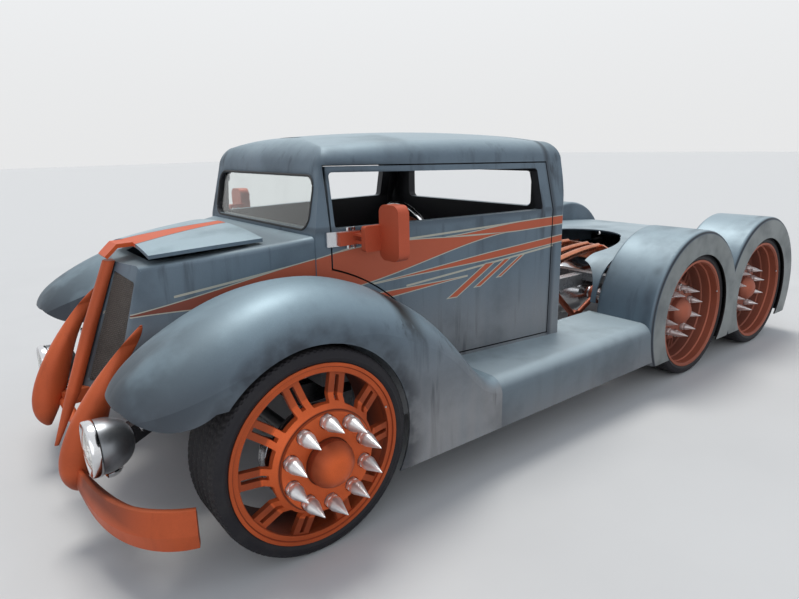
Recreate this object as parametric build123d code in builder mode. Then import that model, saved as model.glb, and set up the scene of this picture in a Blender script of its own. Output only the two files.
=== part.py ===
"""Six-wheel custom hot rod: chopped cab, pontoon fenders, drum-like rear tubs.

Millimetres. +X points to the tail, +Y to the vehicle's right side, +Z up.
The origin lies on the ground under the middle of the overall box.
"""
import os
from math import asin, cos, degrees, radians, sin

from build123d import *

os.makedirs("parts", exist_ok=True)

# Main stations
front_axle_x = -1596.0
wheelbase = 2527.0
tandem_gap = 865.0
rear_axle_1_x = front_axle_x + wheelbase
rear_axle_2_x = rear_axle_1_x + tandem_gap
tyre_r = 366.5
hub_z = tyre_r
front_flange_y = 951.0
rear_flange_y = 932.0

# Wheels and tyres
flange_r = 317.5
bead_r = 304.8
barrel_r = 292.0
front_rim_w = 235.0
rear_rim_w = 290.0
front_disc_y = -54.0
rear_disc_y = 102.0
disc_r = 170.0
cap_r = 80.0
cap_h = 78.0
lug_count = 10
lug_circle_r = 142.9
lug_recess_r = 27.0
lug_recess_h = 8.0
lug_base_r = 21.0
lug_len = 107.0
spoke_half_w = 30.0
window_in_r = 190.0
window_out_r = 284.0
slot_w = 15.0
slot_in_r = 196.0
slot_out_r = 276.0
spindle_r = 30.0
running_fit = 0.05
boss_r = 62.0
boss_len = 76.0

# Steering
kingpin_y = 791.0
kingpin_r = 13.0
eye_r = 30.0
eye_h = 70.0
fork_gap = 6.0
fork_t = 18.0
beam_r = 24.0

# Cab
cab_wall = 45.0
cab_bottom_z = 400.0
belt_z = 1042.0
cab_corner_r = 70.0
cab_front_x = front_axle_x + 262.0
cab_rear_x = front_axle_x + 1600.0
seam = 6.0
door_bottom_z = 420.0
door_reach_y = 452.0
back_window_w = 1000.0
back_window_h = 178.0

# Hood, grille and lid
hood_wall = 12.0
hood_edge_r = 22.0
hood_bottom_z = 460.0
lid_t = 14.0
hinge_x = 104.0
hinge_z = 1012.0
hinge_y = 205.0
hinge_half = 20.0
ear_t = 14.0
ear_r = 6.5
pin_r = 4.0

# Frame
rail_y = 330.0
rail_w = 60.0
rail_low_z = 280.0
rail_top_z = 370.0
rear_rail_z = 500.0
rear_rail_top_z = 570.0
front_rail_z = 398.0
seat_gap = 0.3
axle_tube_r = 45.0

engine_low_z = 530.0

# Rear deck
deck_top_z = 706.0
deck_crown_z = 724.0
deck_sill_z = 480.0
deck_low_z = 250.0
deck_t = 8.0

# Fenders, boards and tubs
sheet_t = 8.0
arch_r = 382.0
skirt_bottom_z = 180.0
board_top_z = 400.0
board_start_x = front_axle_x + 880.0
board_inner_y = 560.0
tub_r = 0.5665 * tandem_gap
tub_t = 9.0
tub_open_r = 0.96 * tyre_r
tub_face_y = 955.0
tub_inner_y = 600.0
tub_bottom_z = hub_z - 0.44 * tub_r
tub_edge_r = 24.0


def at(x_from_axle, y, z):
    """Point given from the front axle line."""
    return (front_axle_x + x_from_axle, y, z)


def at2(x_from_axle, z):
    """Point of a side view, given from the front axle line."""
    return (front_axle_x + x_from_axle, z)


def rear2(x_from_axle, z):
    """Point of a side view, given from the first rear axle line."""
    return (rear_axle_1_x + x_from_axle, z)


def save(shape, name):
    shape.label = name
    export_step(shape, "parts/" + name + ".step")


# Wheel centre with ten pairs of bars, raised disc and domed cap
def make_rim(width, disc_y, ledges):
    plate_y = disc_y + 64.0
    with BuildPart() as rim:
        with BuildSketch(Plane.XY):
            with BuildLine():
                Polyline(
                    (flange_r, 0), (flange_r, 12), (bead_r, 17), (bead_r, width - 17),
                    (flange_r, width - 12), (flange_r, width), (barrel_r + 6, width),
                    (barrel_r, width - 12), (barrel_r, plate_y + 22), (barrel_r - 6, plate_y + 20),
                    (212, plate_y + 5), (176, disc_y + 34), (boss_r, disc_y + 34),
                    (boss_r, disc_y + 34 + boss_len), (spindle_r + running_fit, disc_y + 34 + boss_len),
                    (spindle_r + running_fit, disc_y + 45), (0, disc_y + 45), (0, disc_y - cap_h),
                )
                ThreePointArc((0, disc_y - cap_h), (cap_r * 0.72, disc_y - cap_h * 0.76), (cap_r, disc_y - 26))
                Polyline(
                    (cap_r, disc_y - 26), (cap_r, disc_y + 3), (cap_r + 4, disc_y + 3), (cap_r + 4, disc_y),
                    (disc_r, disc_y), (disc_r, disc_y + 9), (disc_r + 6, disc_y + 10), (212, plate_y - 16),
                    (barrel_r - 7, plate_y), *ledges, (303, 5), (306, 0), (flange_r, 0),
                )
            make_face()
        revolve(axis=Axis.Y)
        step = 360.0 / lug_count
        a_in = degrees(asin(spoke_half_w / window_in_r))
        a_out = degrees(asin(spoke_half_w / window_out_r))
        corners = [
            (window_in_r, a_in), (window_out_r, a_out),
            (window_out_r, step - a_out), (window_in_r, step - a_in),
        ]
        points = [(r * cos(radians(a)), r * sin(radians(a))) for r, a in corners]
        mid = radians(step / 2)
        with BuildSketch(mode=Mode.PRIVATE) as window:
            with BuildLine():
                Line(points[0], points[1])
                ThreePointArc(points[1], (window_out_r * cos(mid), window_out_r * sin(mid)), points[2])
                Line(points[2], points[3])
                ThreePointArc(points[3], (window_in_r * cos(mid), window_in_r * sin(mid)), points[0])
            make_face()
            fillet(window.vertices(), 5)
        with BuildSketch(Plane.XZ.offset(-(disc_y + 100))):
            with PolarLocations(0, lug_count):
                add(window.sketch)
            with PolarLocations((slot_in_r + slot_out_r) / 2, lug_count):
                Rectangle(slot_out_r - slot_in_r, slot_w)
        extrude(amount=130, mode=Mode.SUBTRACT)
        with BuildSketch(Plane.XZ.offset(-(disc_y + lug_recess_h))):
            with PolarLocations(lug_circle_r, lug_count, start_angle=step / 2):
                Circle(lug_recess_r)
        extrude(amount=30, mode=Mode.SUBTRACT)
    return rim.part


def make_lugs(disc_y):
    base_y = disc_y + lug_recess_h
    with BuildPart() as lug:
        with BuildSketch(Plane.XY):
            with BuildLine():
                Polyline(
                    (0, base_y), (lug_base_r + 3, base_y), (lug_base_r + 3, base_y - 5), (lug_base_r, base_y - 9),
                    (lug_base_r, base_y - 26), (lug_base_r - 3, base_y - 34), (0, disc_y - lug_len), (0, base_y),
                )
            make_face()
        revolve(axis=Axis.Y)
    with BuildPart() as lugs:
        for k in range(lug_count):
            angle = radians(360.0 / lug_count * (k + 0.5))
            place = Location((lug_circle_r * cos(angle), 0, lug_circle_r * sin(angle)))
            add(lug.part.moved(place))
    return lugs.part


def make_tyre(width):
    with BuildPart() as tyre:
        with BuildSketch(Plane.XY):
            with BuildLine():
                Polyline((flange_r + 1, 3), (flange_r + 1, 13), (bead_r + 0.3, 18), (bead_r + 0.3, width - 18))
                Polyline(
                    (bead_r + 0.3, width - 18), (flange_r + 1, width - 13), (flange_r + 1, width - 3),
                    (335, width + 5), (352, width), (tyre_r - 2, width - 10), (tyre_r, width - 24),
                )
                Polyline(
                    (tyre_r, width - 24), (tyre_r, 24), (tyre_r - 2, 10), (352, 0), (335, -5), (flange_r + 1, 3),
                )
            make_face()
        revolve(axis=Axis.Y)
    return tyre.part


# Barrel steps outboard of the spokes: radius, depth behind the flange
front_ledges = [(barrel_r - 7, 5.0)]
rear_ledges = [(289.0, 158.0), (289.0, 104.0), (295.0, 98.0), (295.0, 52.0), (300.5, 46.0), (300.5, 8.0)]
# Two kinds of wheel, each built once: rim width, disc y, steps, flange y
front_kind = (
    make_rim(front_rim_w, front_disc_y, front_ledges), make_tyre(front_rim_w), make_lugs(front_disc_y), front_flange_y,
)
rear_kind = (
    make_rim(rear_rim_w, rear_disc_y, rear_ledges), make_tyre(rear_rim_w), make_lugs(rear_disc_y), rear_flange_y,
)
# name, axle x, side (-1 left, +1 right), kind
wheel_table = [
    ("front_left", front_axle_x, -1, front_kind),
    ("front_right", front_axle_x, 1, front_kind),
    ("rear_1_left", rear_axle_1_x, -1, rear_kind),
    ("rear_1_right", rear_axle_1_x, 1, rear_kind),
    ("rear_2_left", rear_axle_2_x, -1, rear_kind),
    ("rear_2_right", rear_axle_2_x, 1, rear_kind),
]
for name, axle_x, side, kind in wheel_table:
    for piece, label in zip(kind[:3], ("rim", "tyre", "lugs")):
        placed = piece.moved(Location((axle_x, -kind[3], hub_z)))
        if side > 0:
            placed = placed.mirror(Plane.XZ)
        save(placed, label + "_" + name)


# Front axle: tube beam with kingpin eyes
with BuildPart() as front_axle:
    with BuildSketch(Plane.XZ.offset(-(kingpin_y - eye_r + 4))):
        with Locations((front_axle_x, hub_z)):
            Circle(beam_r)
    extrude(amount=2 * (kingpin_y - eye_r + 4))
    for side in (-1, 1):
        with BuildSketch(Plane.XY.offset(hub_z - eye_h / 2)):
            with Locations((front_axle_x, side * kingpin_y)):
                Circle(eye_r)
        extrude(amount=eye_h)
    for side in (-1, 1):
        with BuildSketch(Plane.XY.offset(hub_z - eye_h / 2)):
            with Locations((front_axle_x, side * kingpin_y)):
                Circle(kingpin_r + running_fit)
        extrude(amount=eye_h, mode=Mode.SUBTRACT)
save(front_axle.part, "front_axle_beam")

# Steering knuckles: fork, kingpin, spindle and steering arm
spindle_end_y = front_flange_y + front_disc_y * -1.0 - 46.0
for side, name in ((-1, "knuckle_left"), (1, "knuckle_right")):
    with BuildPart() as knuckle:
        for z0 in (hub_z + eye_h / 2 + fork_gap, hub_z - eye_h / 2 - fork_gap - fork_t):
            with BuildSketch(Plane.XY.offset(z0)):
                with Locations((front_axle_x, side * kingpin_y)):
                    Circle(eye_r)
                with Locations((front_axle_x, side * (kingpin_y + 28))):
                    Rectangle(2 * eye_r, 56)
            extrude(amount=fork_t)
        with BuildSketch(Plane.XY.offset(hub_z - eye_h / 2 - fork_gap - fork_t)):
            with Locations((front_axle_x, side * (kingpin_y + 47))):
                Rectangle(2 * eye_r, 18)
        extrude(amount=eye_h + 2 * fork_gap + 2 * fork_t)
        with BuildSketch(Plane.XY.offset(hub_z - eye_h / 2 - fork_gap - fork_t)):
            with Locations((front_axle_x, side * kingpin_y)):
                Circle(kingpin_r)
        extrude(amount=eye_h + 2 * fork_gap + 2 * fork_t)
        with BuildSketch(Plane.XZ.offset(-side * (kingpin_y + 50))):
            with Locations((front_axle_x, hub_z)):
                Circle(spindle_r)
        extrude(amount=-side * (spindle_end_y - kingpin_y - 50))
        with BuildSketch(Plane.XY.offset(hub_z - eye_h / 2 - fork_gap - fork_t)):
            with Locations((front_axle_x + 70, side * (kingpin_y - 10))):
                Rectangle(140, 26)
        extrude(amount=fork_t)
    save(knuckle.part, name)


# Rear axles: polished centre housing, tubes and spindles, each in one piece
rear_spindle_end_y = rear_flange_y - rear_disc_y - 47.0
with BuildPart() as one_rear_axle:
    with BuildSketch(Plane.XY):
        with BuildLine():
            Polyline(
                (0, -rear_spindle_end_y), (spindle_r, -rear_spindle_end_y), (spindle_r, -702), (axle_tube_r, -702),
                (axle_tube_r, -230), (95, -200), (150, -120), (165, -60),
            )
            ThreePointArc((165, -60), (182, 0), (165, 60))
            Polyline(
                (165, 60), (150, 120), (95, 200), (axle_tube_r, 230), (axle_tube_r, 702), (spindle_r, 702),
                (spindle_r, rear_spindle_end_y), (0, rear_spindle_end_y), (0, -rear_spindle_end_y),
            )
        make_face()
    revolve(axis=Axis.Y)
with BuildPart() as rear_axles:
    for axle_x in (rear_axle_1_x, rear_axle_2_x):
        add(one_rear_axle.part.moved(Location((axle_x, 0, hub_z))))
save(rear_axles.part, "rear_axles")


# Cab body: rounded shell, hollow, with windows and door openings
# x from axle, half bottom, half belt, half rail, rail z, half crown, crown edge z, crown z
cab_table = [
    (225.0, 522.0, 527.0, 492.0, 1270.0, 405.0, 1352.0, 1384.0),
    (800.0, 604.0, 616.0, 572.0, 1284.0, 480.0, 1380.0, 1418.0),
    (1620.0, 702.0, 707.0, 646.0, 1268.0, 545.0, 1358.0, 1398.0),
]


def cab_section(row, inset, x_shift=0.0):
    x, bottom, belt, rail, rail_z, crown, crown_edge_z, crown_z = row
    w = inset
    low = cab_bottom_z - (30.0 if inset else 0.0)
    with BuildSketch(Plane.YZ.offset(front_axle_x + x + x_shift)) as s:
        with BuildLine():
            for q in (-1, 1):
                Line((q * (bottom - w), low), (q * (belt - w), belt_z))
                Line((q * (belt - w), belt_z), (q * (rail - w), rail_z - 0.4 * w))
                ThreePointArc(
                    (q * (rail - w), rail_z - 0.4 * w),
                    (q * (rail - w - 0.28 * (rail - crown)), rail_z - 0.6 * w + 0.68 * (crown_edge_z - rail_z)),
                    (q * (crown - 0.6 * w), crown_edge_z - w),
                )
            ThreePointArc((-(crown - 0.6 * w), crown_edge_z - w), (0, crown_z - w), (crown - 0.6 * w, crown_edge_z - w))
            Line((-(bottom - w), low), (bottom - w, low))
        make_face()
    return s.sketch.face()


def front_half_space(x_low):
    """Everything ahead of the windscreen plane: upright below the cowl, rounded back over the header."""
    with BuildSketch(Plane.XZ.offset(-1000)) as s:
        with BuildLine():
            Polyline(
                (x_low + 200, 1500), (x_low - 400, 1500), (x_low - 400, 300), (x_low, 300), (x_low, 1030),
                (x_low + 50, 1268),
            )
            ThreePointArc((x_low + 50, 1268), (x_low + 88, 1352), (x_low + 200, 1400))
            Line((x_low + 200, 1400), (x_low + 200, 1500))
        make_face()
    return extrude(s.sketch, amount=2000, mode=Mode.PRIVATE)


def rear_trim(inset):
    """What lies outside the cab's rounded rear corners and rear roof edge."""
    x = cab_rear_x - inset
    with BuildSketch(Plane.XZ.offset(-1000)) as top:
        with BuildLine():
            ThreePointArc((x, 1270), (x - 34, 1362), (x - 130, 1406))
            Polyline((x - 130, 1406), (x - 130, 1500), (x + 300, 1500), (x + 300, 1270), (x, 1270))
        make_face()
    top_cut = extrude(top.sketch, amount=2000, mode=Mode.PRIVATE)
    half = cab_table[-1][2] - inset
    r = cab_corner_r - inset * 0.5
    with BuildSketch(Plane.XY.offset(300)) as plan:
        for q in (-1, 1):
            with BuildLine():
                Polyline((x, 0), (x, q * (half - r)))
                ThreePointArc((x, q * (half - r)), (x - r * 0.293, q * (half - r * 0.293)), (x - r, q * half))
                Polyline((x - r, q * half), (x - r, q * (half + 60)), (x + 300, q * (half + 60)), (x + 300, 0), (x, 0))
            make_face()
    return top_cut + extrude(plan.sketch, amount=1300, mode=Mode.PRIVATE)


with BuildPart() as cab_outer:
    loft(sections=[cab_section(row, 0.0) for row in cab_table])
    add(front_half_space(cab_front_x), mode=Mode.SUBTRACT)
    add(rear_trim(0.0), mode=Mode.SUBTRACT)
cab_outer_solid = cab_outer.part

with BuildPart() as cab_inner:
    loft(sections=[cab_section(row, cab_wall) for row in cab_table])
    add(front_half_space(cab_front_x + cab_wall), mode=Mode.SUBTRACT)
    add(rear_trim(cab_wall), mode=Mode.SUBTRACT)


def door_outline(grow):
    """Door edge in side view: straight seams, lower front edge cut along the fender."""
    g = grow
    low = door_bottom_z - g
    with BuildSketch(Plane.XZ) as s:
        with BuildLine():
            Polyline(
                at2(880, low), at2(1488 + g, low), at2(1488 + g, 1262 + g), at2(330 - g, 1284 + g), at2(330 - g, 890 - g),
            )
            ThreePointArc(at2(330 - g, 890 - g), at2(570 - 0.7 * g, 757 - 0.7 * g), at2(742 - g, 545 - 0.5 * g))
            ThreePointArc(at2(742 - g, 545 - 0.5 * g), at2(802 - 0.7 * g, 447 - 0.7 * g), at2(880, low))
        make_face()
    return s.sketch.face()


def side_prism(outline, side):
    """Outline in side view, pushed out through one side wall of the cab."""
    start = outline.moved(Location((0, side * door_reach_y, 0)))
    return extrude(start, amount=500, dir=(0, side, 0), mode=Mode.PRIVATE)


def window_outline():
    with BuildSketch(Plane.XZ) as s:
        with BuildLine():
            Polyline(at2(346, 1046), at2(1425, 1046), at2(1425, 1238), at2(346, 1262), close=True)
        make_face()
        fillet(s.vertices(), 16)
    return s.sketch.face()


with BuildPart() as cab_shell:
    add(cab_outer_solid)
    add(cab_inner.part, mode=Mode.SUBTRACT)
cab_skin = cab_shell.part

with BuildPart() as cab:
    add(cab_skin)
    for side in (-1, 1):
        add(side_prism(door_outline(seam), side), mode=Mode.SUBTRACT)
    with BuildSketch(Plane.YZ.offset(cab_front_x - 50)):
        with Locations((0, 1145)):
            RectangleRounded(940, 200, 55)
    extrude(amount=250, mode=Mode.SUBTRACT)
    with BuildSketch(Plane.YZ.offset(cab_rear_x - 150)):
        with Locations((0, 1128)):
            RectangleRounded(back_window_w, back_window_h, 30)
    extrude(amount=300, mode=Mode.SUBTRACT)
save(cab.part, "cab_shell")

def door_edge_bevel(side):
    """Wedge off the door's front edge, so that its inner corner clears the pillar as it swings."""
    with BuildSketch(Plane.XY.offset(door_bottom_z)) as s:
        with BuildLine():
            Polyline(
                at2(300, side * 545), at2(330, side * 545), at2(342, side * 480), at2(342, side * 380),
                at2(300, side * 380), close=True,
            )
        make_face()
    return extrude(s.sketch, amount=900, mode=Mode.PRIVATE)


for side, name in ((-1, "door_left"), (1, "door_right")):
    with BuildPart() as door:
        add(side_prism(door_outline(0), side))
        add(cab_skin, mode=Mode.INTERSECT)
        add(side_prism(window_outline(), side), mode=Mode.SUBTRACT)
        add(door_edge_bevel(side), mode=Mode.SUBTRACT)
    save(door.part, name)


# Windscreen pane in the raked opening
with BuildPart() as windscreen:
    with BuildSketch(Plane.YZ.offset(cab_front_x - 50)):
        with Locations((0, 1145)):
            RectangleRounded(940, 200, 55)
    extrude(amount=250)
    add(front_half_space(cab_front_x + 11), mode=Mode.SUBTRACT)
    add(front_half_space(cab_front_x + 17), mode=Mode.INTERSECT)
save(windscreen.part, "windscreen")


# Hood sides: V nose with a raked grille, sides flaring back to the cowl
# z, apex x, corner x, corner half width, rear half width (x from axle)
hood_table = [
    (hood_bottom_z, -536.0, -436.0, 190.0, 506.0),
    (1080.0, -298.0, -280.0, 236.0, 531.0),
]


def hood_solid(inset):
    sections = []
    for z, apex, corner, corner_w, rear_w in hood_table:
        with BuildSketch(Plane.XY.offset(z - (10 if inset and z < 800 else 0))) as s:
            with BuildLine():
                mid_x = front_axle_x + (corner + 262.0) / 2
                mid_w = (corner_w + rear_w) / 2 + 20.0 - inset
                tip = (front_axle_x + apex + inset * 1.3, 0)
                rear_x = cab_front_x + (1 if inset else 0)
                Line(tip, (front_axle_x + corner + inset, -corner_w + inset))
                ThreePointArc(
                    (front_axle_x + corner + inset, -corner_w + inset), (mid_x, -mid_w), (rear_x, -rear_w + inset)
                )
                Line((rear_x, -rear_w + inset), (rear_x, rear_w - inset))
                ThreePointArc(
                    (rear_x, rear_w - inset), (mid_x, mid_w), (front_axle_x + corner + inset, corner_w - inset)
                )
                Line((front_axle_x + corner + inset, corner_w - inset), tip)
            make_face()
        sections.append(s.sketch.face())
    return loft(sections=sections, ruled=True, mode=Mode.PRIVATE)


def hood_top_cut(drop):
    """Everything above the hood's top line."""
    with BuildSketch(Plane.XZ.offset(-1000)) as s:
        with BuildLine():
            Polyline(
                at2(-700, 938 - drop), at2(-340, 938 - drop), at2(100, 999 - drop), at2(400, 1042 - drop),
                at2(400, 1300), at2(-700, 1300), close=True,
            )
        make_face()
    return extrude(s.sketch, amount=2000, mode=Mode.PRIVATE)


def grille_window(side):
    with BuildSketch(Plane.YZ.offset(front_axle_x - 700)) as s:
        with BuildLine():
            Polyline(
                (side * 24, 905), (side * 206, 880), (side * 176, 500), (side * 24, 480), close=True,
            )
        make_face()
        fillet(s.vertices(), 12)
    return extrude(s.sketch, amount=460, mode=Mode.PRIVATE)


with BuildPart() as engine_bay:
    add(hood_solid(hood_wall))
    add(hood_top_cut(hood_wall), mode=Mode.SUBTRACT)
with BuildPart() as hood_sides:
    add(hood_solid(0.0))
    add(hood_top_cut(0.0), mode=Mode.SUBTRACT)
    shoulders = hood_sides.edges().filter_by(
        lambda e: e.bounding_box().min.Z > 930 and abs(e.center().Y) > 300 and e.bounding_box().size.X > 100
    )
    corners = hood_sides.edges().filter_by(
        lambda e: 190 < abs(e.center().Y) < 230 and e.bounding_box().size.Z > 300
    )
    fillet(shoulders + corners, hood_edge_r)
    add(engine_bay.part, mode=Mode.SUBTRACT)
    with BuildSketch(Plane.XY.offset(800)):
        with BuildLine():
            Polyline(
                at2(-262, -170), at2(-200, -222), at2(70, -345), at2(70, 345), at2(-200, 222), at2(-262, 170),
                close=True,
            )
        make_face()
    extrude(amount=400, mode=Mode.SUBTRACT)
    for side in (-1, 1):
        add(grille_window(side), mode=Mode.SUBTRACT)
    for side in (-1, 1):
        for ear_y in (hinge_y - hinge_half - seat_gap - ear_t, hinge_y + hinge_half + seat_gap):
            with BuildSketch(Plane.XZ.offset(-side * ear_y)):
                with Locations(at2(hinge_x, hinge_z)):
                    Circle(ear_r)
                with Locations(at2(hinge_x, hinge_z - 10)):
                    Rectangle(2 * ear_r, 20)
            extrude(amount=-side * ear_t)
        with BuildSketch(Plane.XZ.offset(-side * (hinge_y - hinge_half - seat_gap - ear_t))):
            with Locations(at2(hinge_x, hinge_z)):
                Circle(pin_r)
        extrude(amount=-side * 2 * (hinge_half + seat_gap + ear_t))
save(hood_sides.part, "hood_sides")

# Grille panels: thin plates set in the two windows
with BuildPart() as both_windows:
    for side in (-1, 1):
        add(grille_window(side))
with BuildPart() as grille_mesh:
    add(hood_solid(4.0))
    add(hood_solid(8.0), mode=Mode.SUBTRACT)
    add(both_windows.part, mode=Mode.INTERSECT)
save(grille_mesh.part, "grille_mesh")

# Centre bar: a blade down the nose that ends in a point
# z, front x, back x, half width
bar_table = [
    (944.0, -392.0, -352.0, 30.0),
    (700.0, -494.0, -446.0, 24.0),
    (440.0, -592.0, -544.0, 22.0),
    (236.0, -662.0, -646.0, 6.0),
]
with BuildPart() as grille_bar:
    for z, front, back, half in bar_table:
        with BuildSketch(Plane.XY.offset(z)):
            with BuildLine():
                ThreePointArc(at2(back, -half), at2(front, 0), at2(back, half))
                Line(at2(back, half), at2(back, -half))
            make_face()
    loft(ruled=True)
    add(hood_solid(0.0), mode=Mode.SUBTRACT)
save(grille_bar.part, "grille_center_bar")


# Bumper tusks: curved spikes beside the grille
# z, centre x, centre y, half length, half width
tusk_table = [
    (196.0, -640.0, 330.0, 12.0, 14.0),
    (240.0, -643.0, 334.0, 40.0, 44.0),
    (330.0, -620.5, 342.0, 64.0, 50.0),
    (450.0, -574.0, 353.0, 62.0, 45.0),
    (600.0, -492.0, 369.0, 42.0, 31.0),
    (762.0, -370.0, 381.0, 4.0, 3.0),
]
# Bumper wings: x, y, z middle, half height, depth ahead, depth behind, heading in degrees from -Y towards +X
wing_table = [
    (-632.0, 342.0, 250.0, 40.0, 20.0, 20.0, 2.0),
    (-612.0, 530.0, 236.0, 58.0, 24.0, 40.0, 10.0),
    (-566.0, 712.0, 236.0, 64.0, 26.0, 44.0, 26.0),
    (-490.0, 832.0, 242.0, 68.0, 26.0, 26.0, 46.0),
    (-402.0, 889.0, 243.0, 66.0, 22.0, 10.0, 66.0),
]


def place_bumper_half(side):
    with BuildPart() as half_bumper:
        for z, x, y, half_l, half_w in tusk_table:
            with BuildSketch(Plane.XY.offset(z)):
                with Locations(at2(x, side * y)):
                    Ellipse(half_l, half_w)
        loft()
        for x, y, z, half_h, ahead, behind, heading in wing_table:
            direction = (sin(radians(heading)), side * cos(radians(heading)), 0)
            across = (cos(radians(heading)), -side * sin(radians(heading)), 0)
            h = side * half_h
            with BuildSketch(Plane(origin=at(x, side * y, z), x_dir=across, z_dir=direction)):
                with BuildLine():
                    Line((-ahead * 0.7, h), (-ahead, 0.25 * h))
                    Line((-ahead, 0.25 * h), (-ahead * 0.55, -0.94 * h))
                    ThreePointArc((-ahead * 0.55, -0.94 * h), (-ahead * 0.3, -h), (0, -h))
                    Line((0, -h), (behind * 0.5, -0.7 * h))
                    Line((behind * 0.5, -0.7 * h), (behind, 0.75 * h))
                    ThreePointArc((behind, 0.75 * h), (behind * 0.6, 0.98 * h), (0, h))
                    Line((0, h), (-ahead * 0.7, h))
                make_face()
        loft()
    return half_bumper.part


with BuildPart() as front_bumper:
    for side in (-1, 1):
        add(place_bumper_half(side))
    with BuildSketch(Plane.XZ.offset(-350)):
        with Locations(at2(-568, 292)):
            Circle(22)
    extrude(amount=700)
    for side in (-1, 1):
        with BuildSketch(Plane.YZ.offset(front_axle_x - 575)):
            with Locations((side * (rail_y - 24.7), 310)):
                Rectangle(49.4, 60)
        extrude(amount=110)
save(front_bumper.part, "front_bumper")


# Headlamps: bullet buckets with a stalk to the tusk
lamp_x = front_axle_x - 618.0
lamp_y = 498.0
lamp_z = 410.0
signal_drop = 113.2
with BuildPart() as lamp:
    with BuildSketch(Plane.XZ):
        with BuildLine():
            Polyline((10, 0), (10, 84), (0, 88), (0, 96), (6, 98), (30, 98), (34, 94), (44, 94))
            ThreePointArc((44, 94), (112, 72), (150, 0))
            Line((150, 0), (10, 0))
        make_face()
    revolve(axis=Axis.X)
with BuildPart() as lens:
    with BuildSketch(Plane.XZ):
        with BuildLine():
            ThreePointArc((-8, 0), (-3, 50), (9.7, 83))
            Polyline((9.7, 83), (9.7, 0), (-8, 0))
        make_face()
    revolve(axis=Axis.X)
with BuildPart() as signal:
    with BuildSketch(Plane.XZ):
        with BuildLine():
            Polyline((0, 0), (0, 20), (4, 23), (24, 23), (40, 18), (58, 0), (0, 0))
        make_face()
    revolve(axis=Axis.X)
with BuildPart() as lamp_stalks:
    for side in (-1, 1):
        with BuildSketch(Plane.XZ.offset(side * -378)):
            with Locations((lamp_x + 70, lamp_z)):
                Circle(14)
        extrude(amount=side * -67)
    add(front_bumper.part, mode=Mode.SUBTRACT)
with BuildPart() as headlamp_buckets:
    for side in (-1, 1):
        add(lamp.part.moved(Location((lamp_x, side * lamp_y, lamp_z))))
    add(lamp_stalks.part)
save(headlamp_buckets.part, "headlamp_buckets")
with BuildPart() as headlamp_lenses:
    for side in (-1, 1):
        add(lens.part.moved(Location((lamp_x, side * lamp_y, lamp_z))))
save(headlamp_lenses.part, "headlamp_lenses")
with BuildPart() as signal_lamps:
    for side in (-1, 1):
        add(signal.part.moved(Location((lamp_x + 52, side * (lamp_y - 30), lamp_z - signal_drop))))
save(signal_lamps.part, "signal_lamps")


# Front fenders: pontoon sheet over the wheel, running down to the board
# x from axle, inner y, outer y, inner z, crest y, crest z, shoulder z
fender_table = [
    (-568.0, 640.0, 800.0, 610.0, 720.0, 640.0, 620.0),
    (-540.0, 585.0, 868.0, 640.0, 722.0, 692.0, 622.0),
    (-470.0, 520.0, 920.0, 680.0, 724.0, 748.0, 640.0),
    (-340.0, 462.0, 946.0, 735.0, 722.0, 820.0, 672.0),
    (-140.0, 440.0, 952.0, 810.0, 715.0, 893.0, 728.0),
    (80.0, 482.0, 952.0, 850.0, 712.0, 916.0, 748.0),
    (270.0, 536.0, 952.0, 850.0, 715.0, 880.0, 730.0),
    (430.0, 562.0, 952.0, 806.0, 760.0, 800.0, 660.0),
    (580.0, 572.0, 952.0, 692.0, 790.0, 686.0, 570.0),
    (720.0, 575.0, 952.0, 522.0, 830.0, 520.0, 430.0),
    (790.0, 570.0, 952.0, 436.0, 855.0, 434.0, 370.0),
    (880.0, 560.0, 952.0, 400.0, 880.0, 400.0, 338.0),
]


def fender_solid(side, inset):
    sections = []
    for k, (x, inner, outer, inner_z, crest, crest_z, shoulder) in enumerate(fender_table):
        nose = inset if k == 0 else 0.0
        tail = 1.0 if inset and k == len(fender_table) - 1 else 0.0
        y0 = inner + inset
        y1 = outer - inset
        low = skirt_bottom_z - (20.0 if inset else 0.0)
        top_in = inner_z - inset
        top = crest_z - inset
        sh = shoulder - inset * 0.5
        yc = crest
        with BuildSketch(Plane.YZ.offset(front_axle_x + x + nose + tail)) as s:
            with BuildLine():
                Line((side * y0, low), (side * y0, top_in))
                bulge = (top - top_in) * 0.25 + 1.0
                ThreePointArc(
                    (side * y0, top_in), (side * (y0 + yc) / 2, (top_in + top) / 2 + bulge), (side * yc, top)
                )
                ThreePointArc(
                    (side * yc, top),
                    (side * (yc + 0.70 * (y1 - yc)), sh + 0.70 * (top - sh)),
                    (side * y1, sh),
                )
                Line((side * y1, sh), (side * y1, low))
                Line((side * y1, low), (side * y0, low))
            make_face()
        sections.append(s.sketch.face())
    return loft(sections=sections, mode=Mode.PRIVATE)


def fender_lip_cut():
    """Side profile below the nose lip and inside the wheel arch."""
    with BuildSketch(Plane.XZ.offset(-1100)) as s:
        with BuildLine():
            Polyline(at2(-700, 100), at2(-700, 640), at2(-560, 640))
            ThreePointArc(at2(-560, 640), at2(-440, 585), at2(-330, 612))
            Line(at2(-330, 612), at2(0, 612))
            Polyline(at2(0, 612), at2(0, 100), at2(-700, 100))
        make_face()
        with Locations(at2(0, hub_z)):
            Circle(arch_r)
        with Locations(at2(160, 200)):
            Rectangle(330, 333)
    return extrude(s.sketch, amount=2200, mode=Mode.PRIVATE)


with BuildPart() as front_fenders:
    for side in (-1, 1):
        add(fender_solid(side, 0.0))
    for side in (-1, 1):
        add(fender_solid(side, sheet_t), mode=Mode.SUBTRACT)
    add(fender_lip_cut(), mode=Mode.SUBTRACT)
    add(cab_outer_solid, mode=Mode.SUBTRACT)
save(front_fenders.part, "front_fenders")


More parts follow.
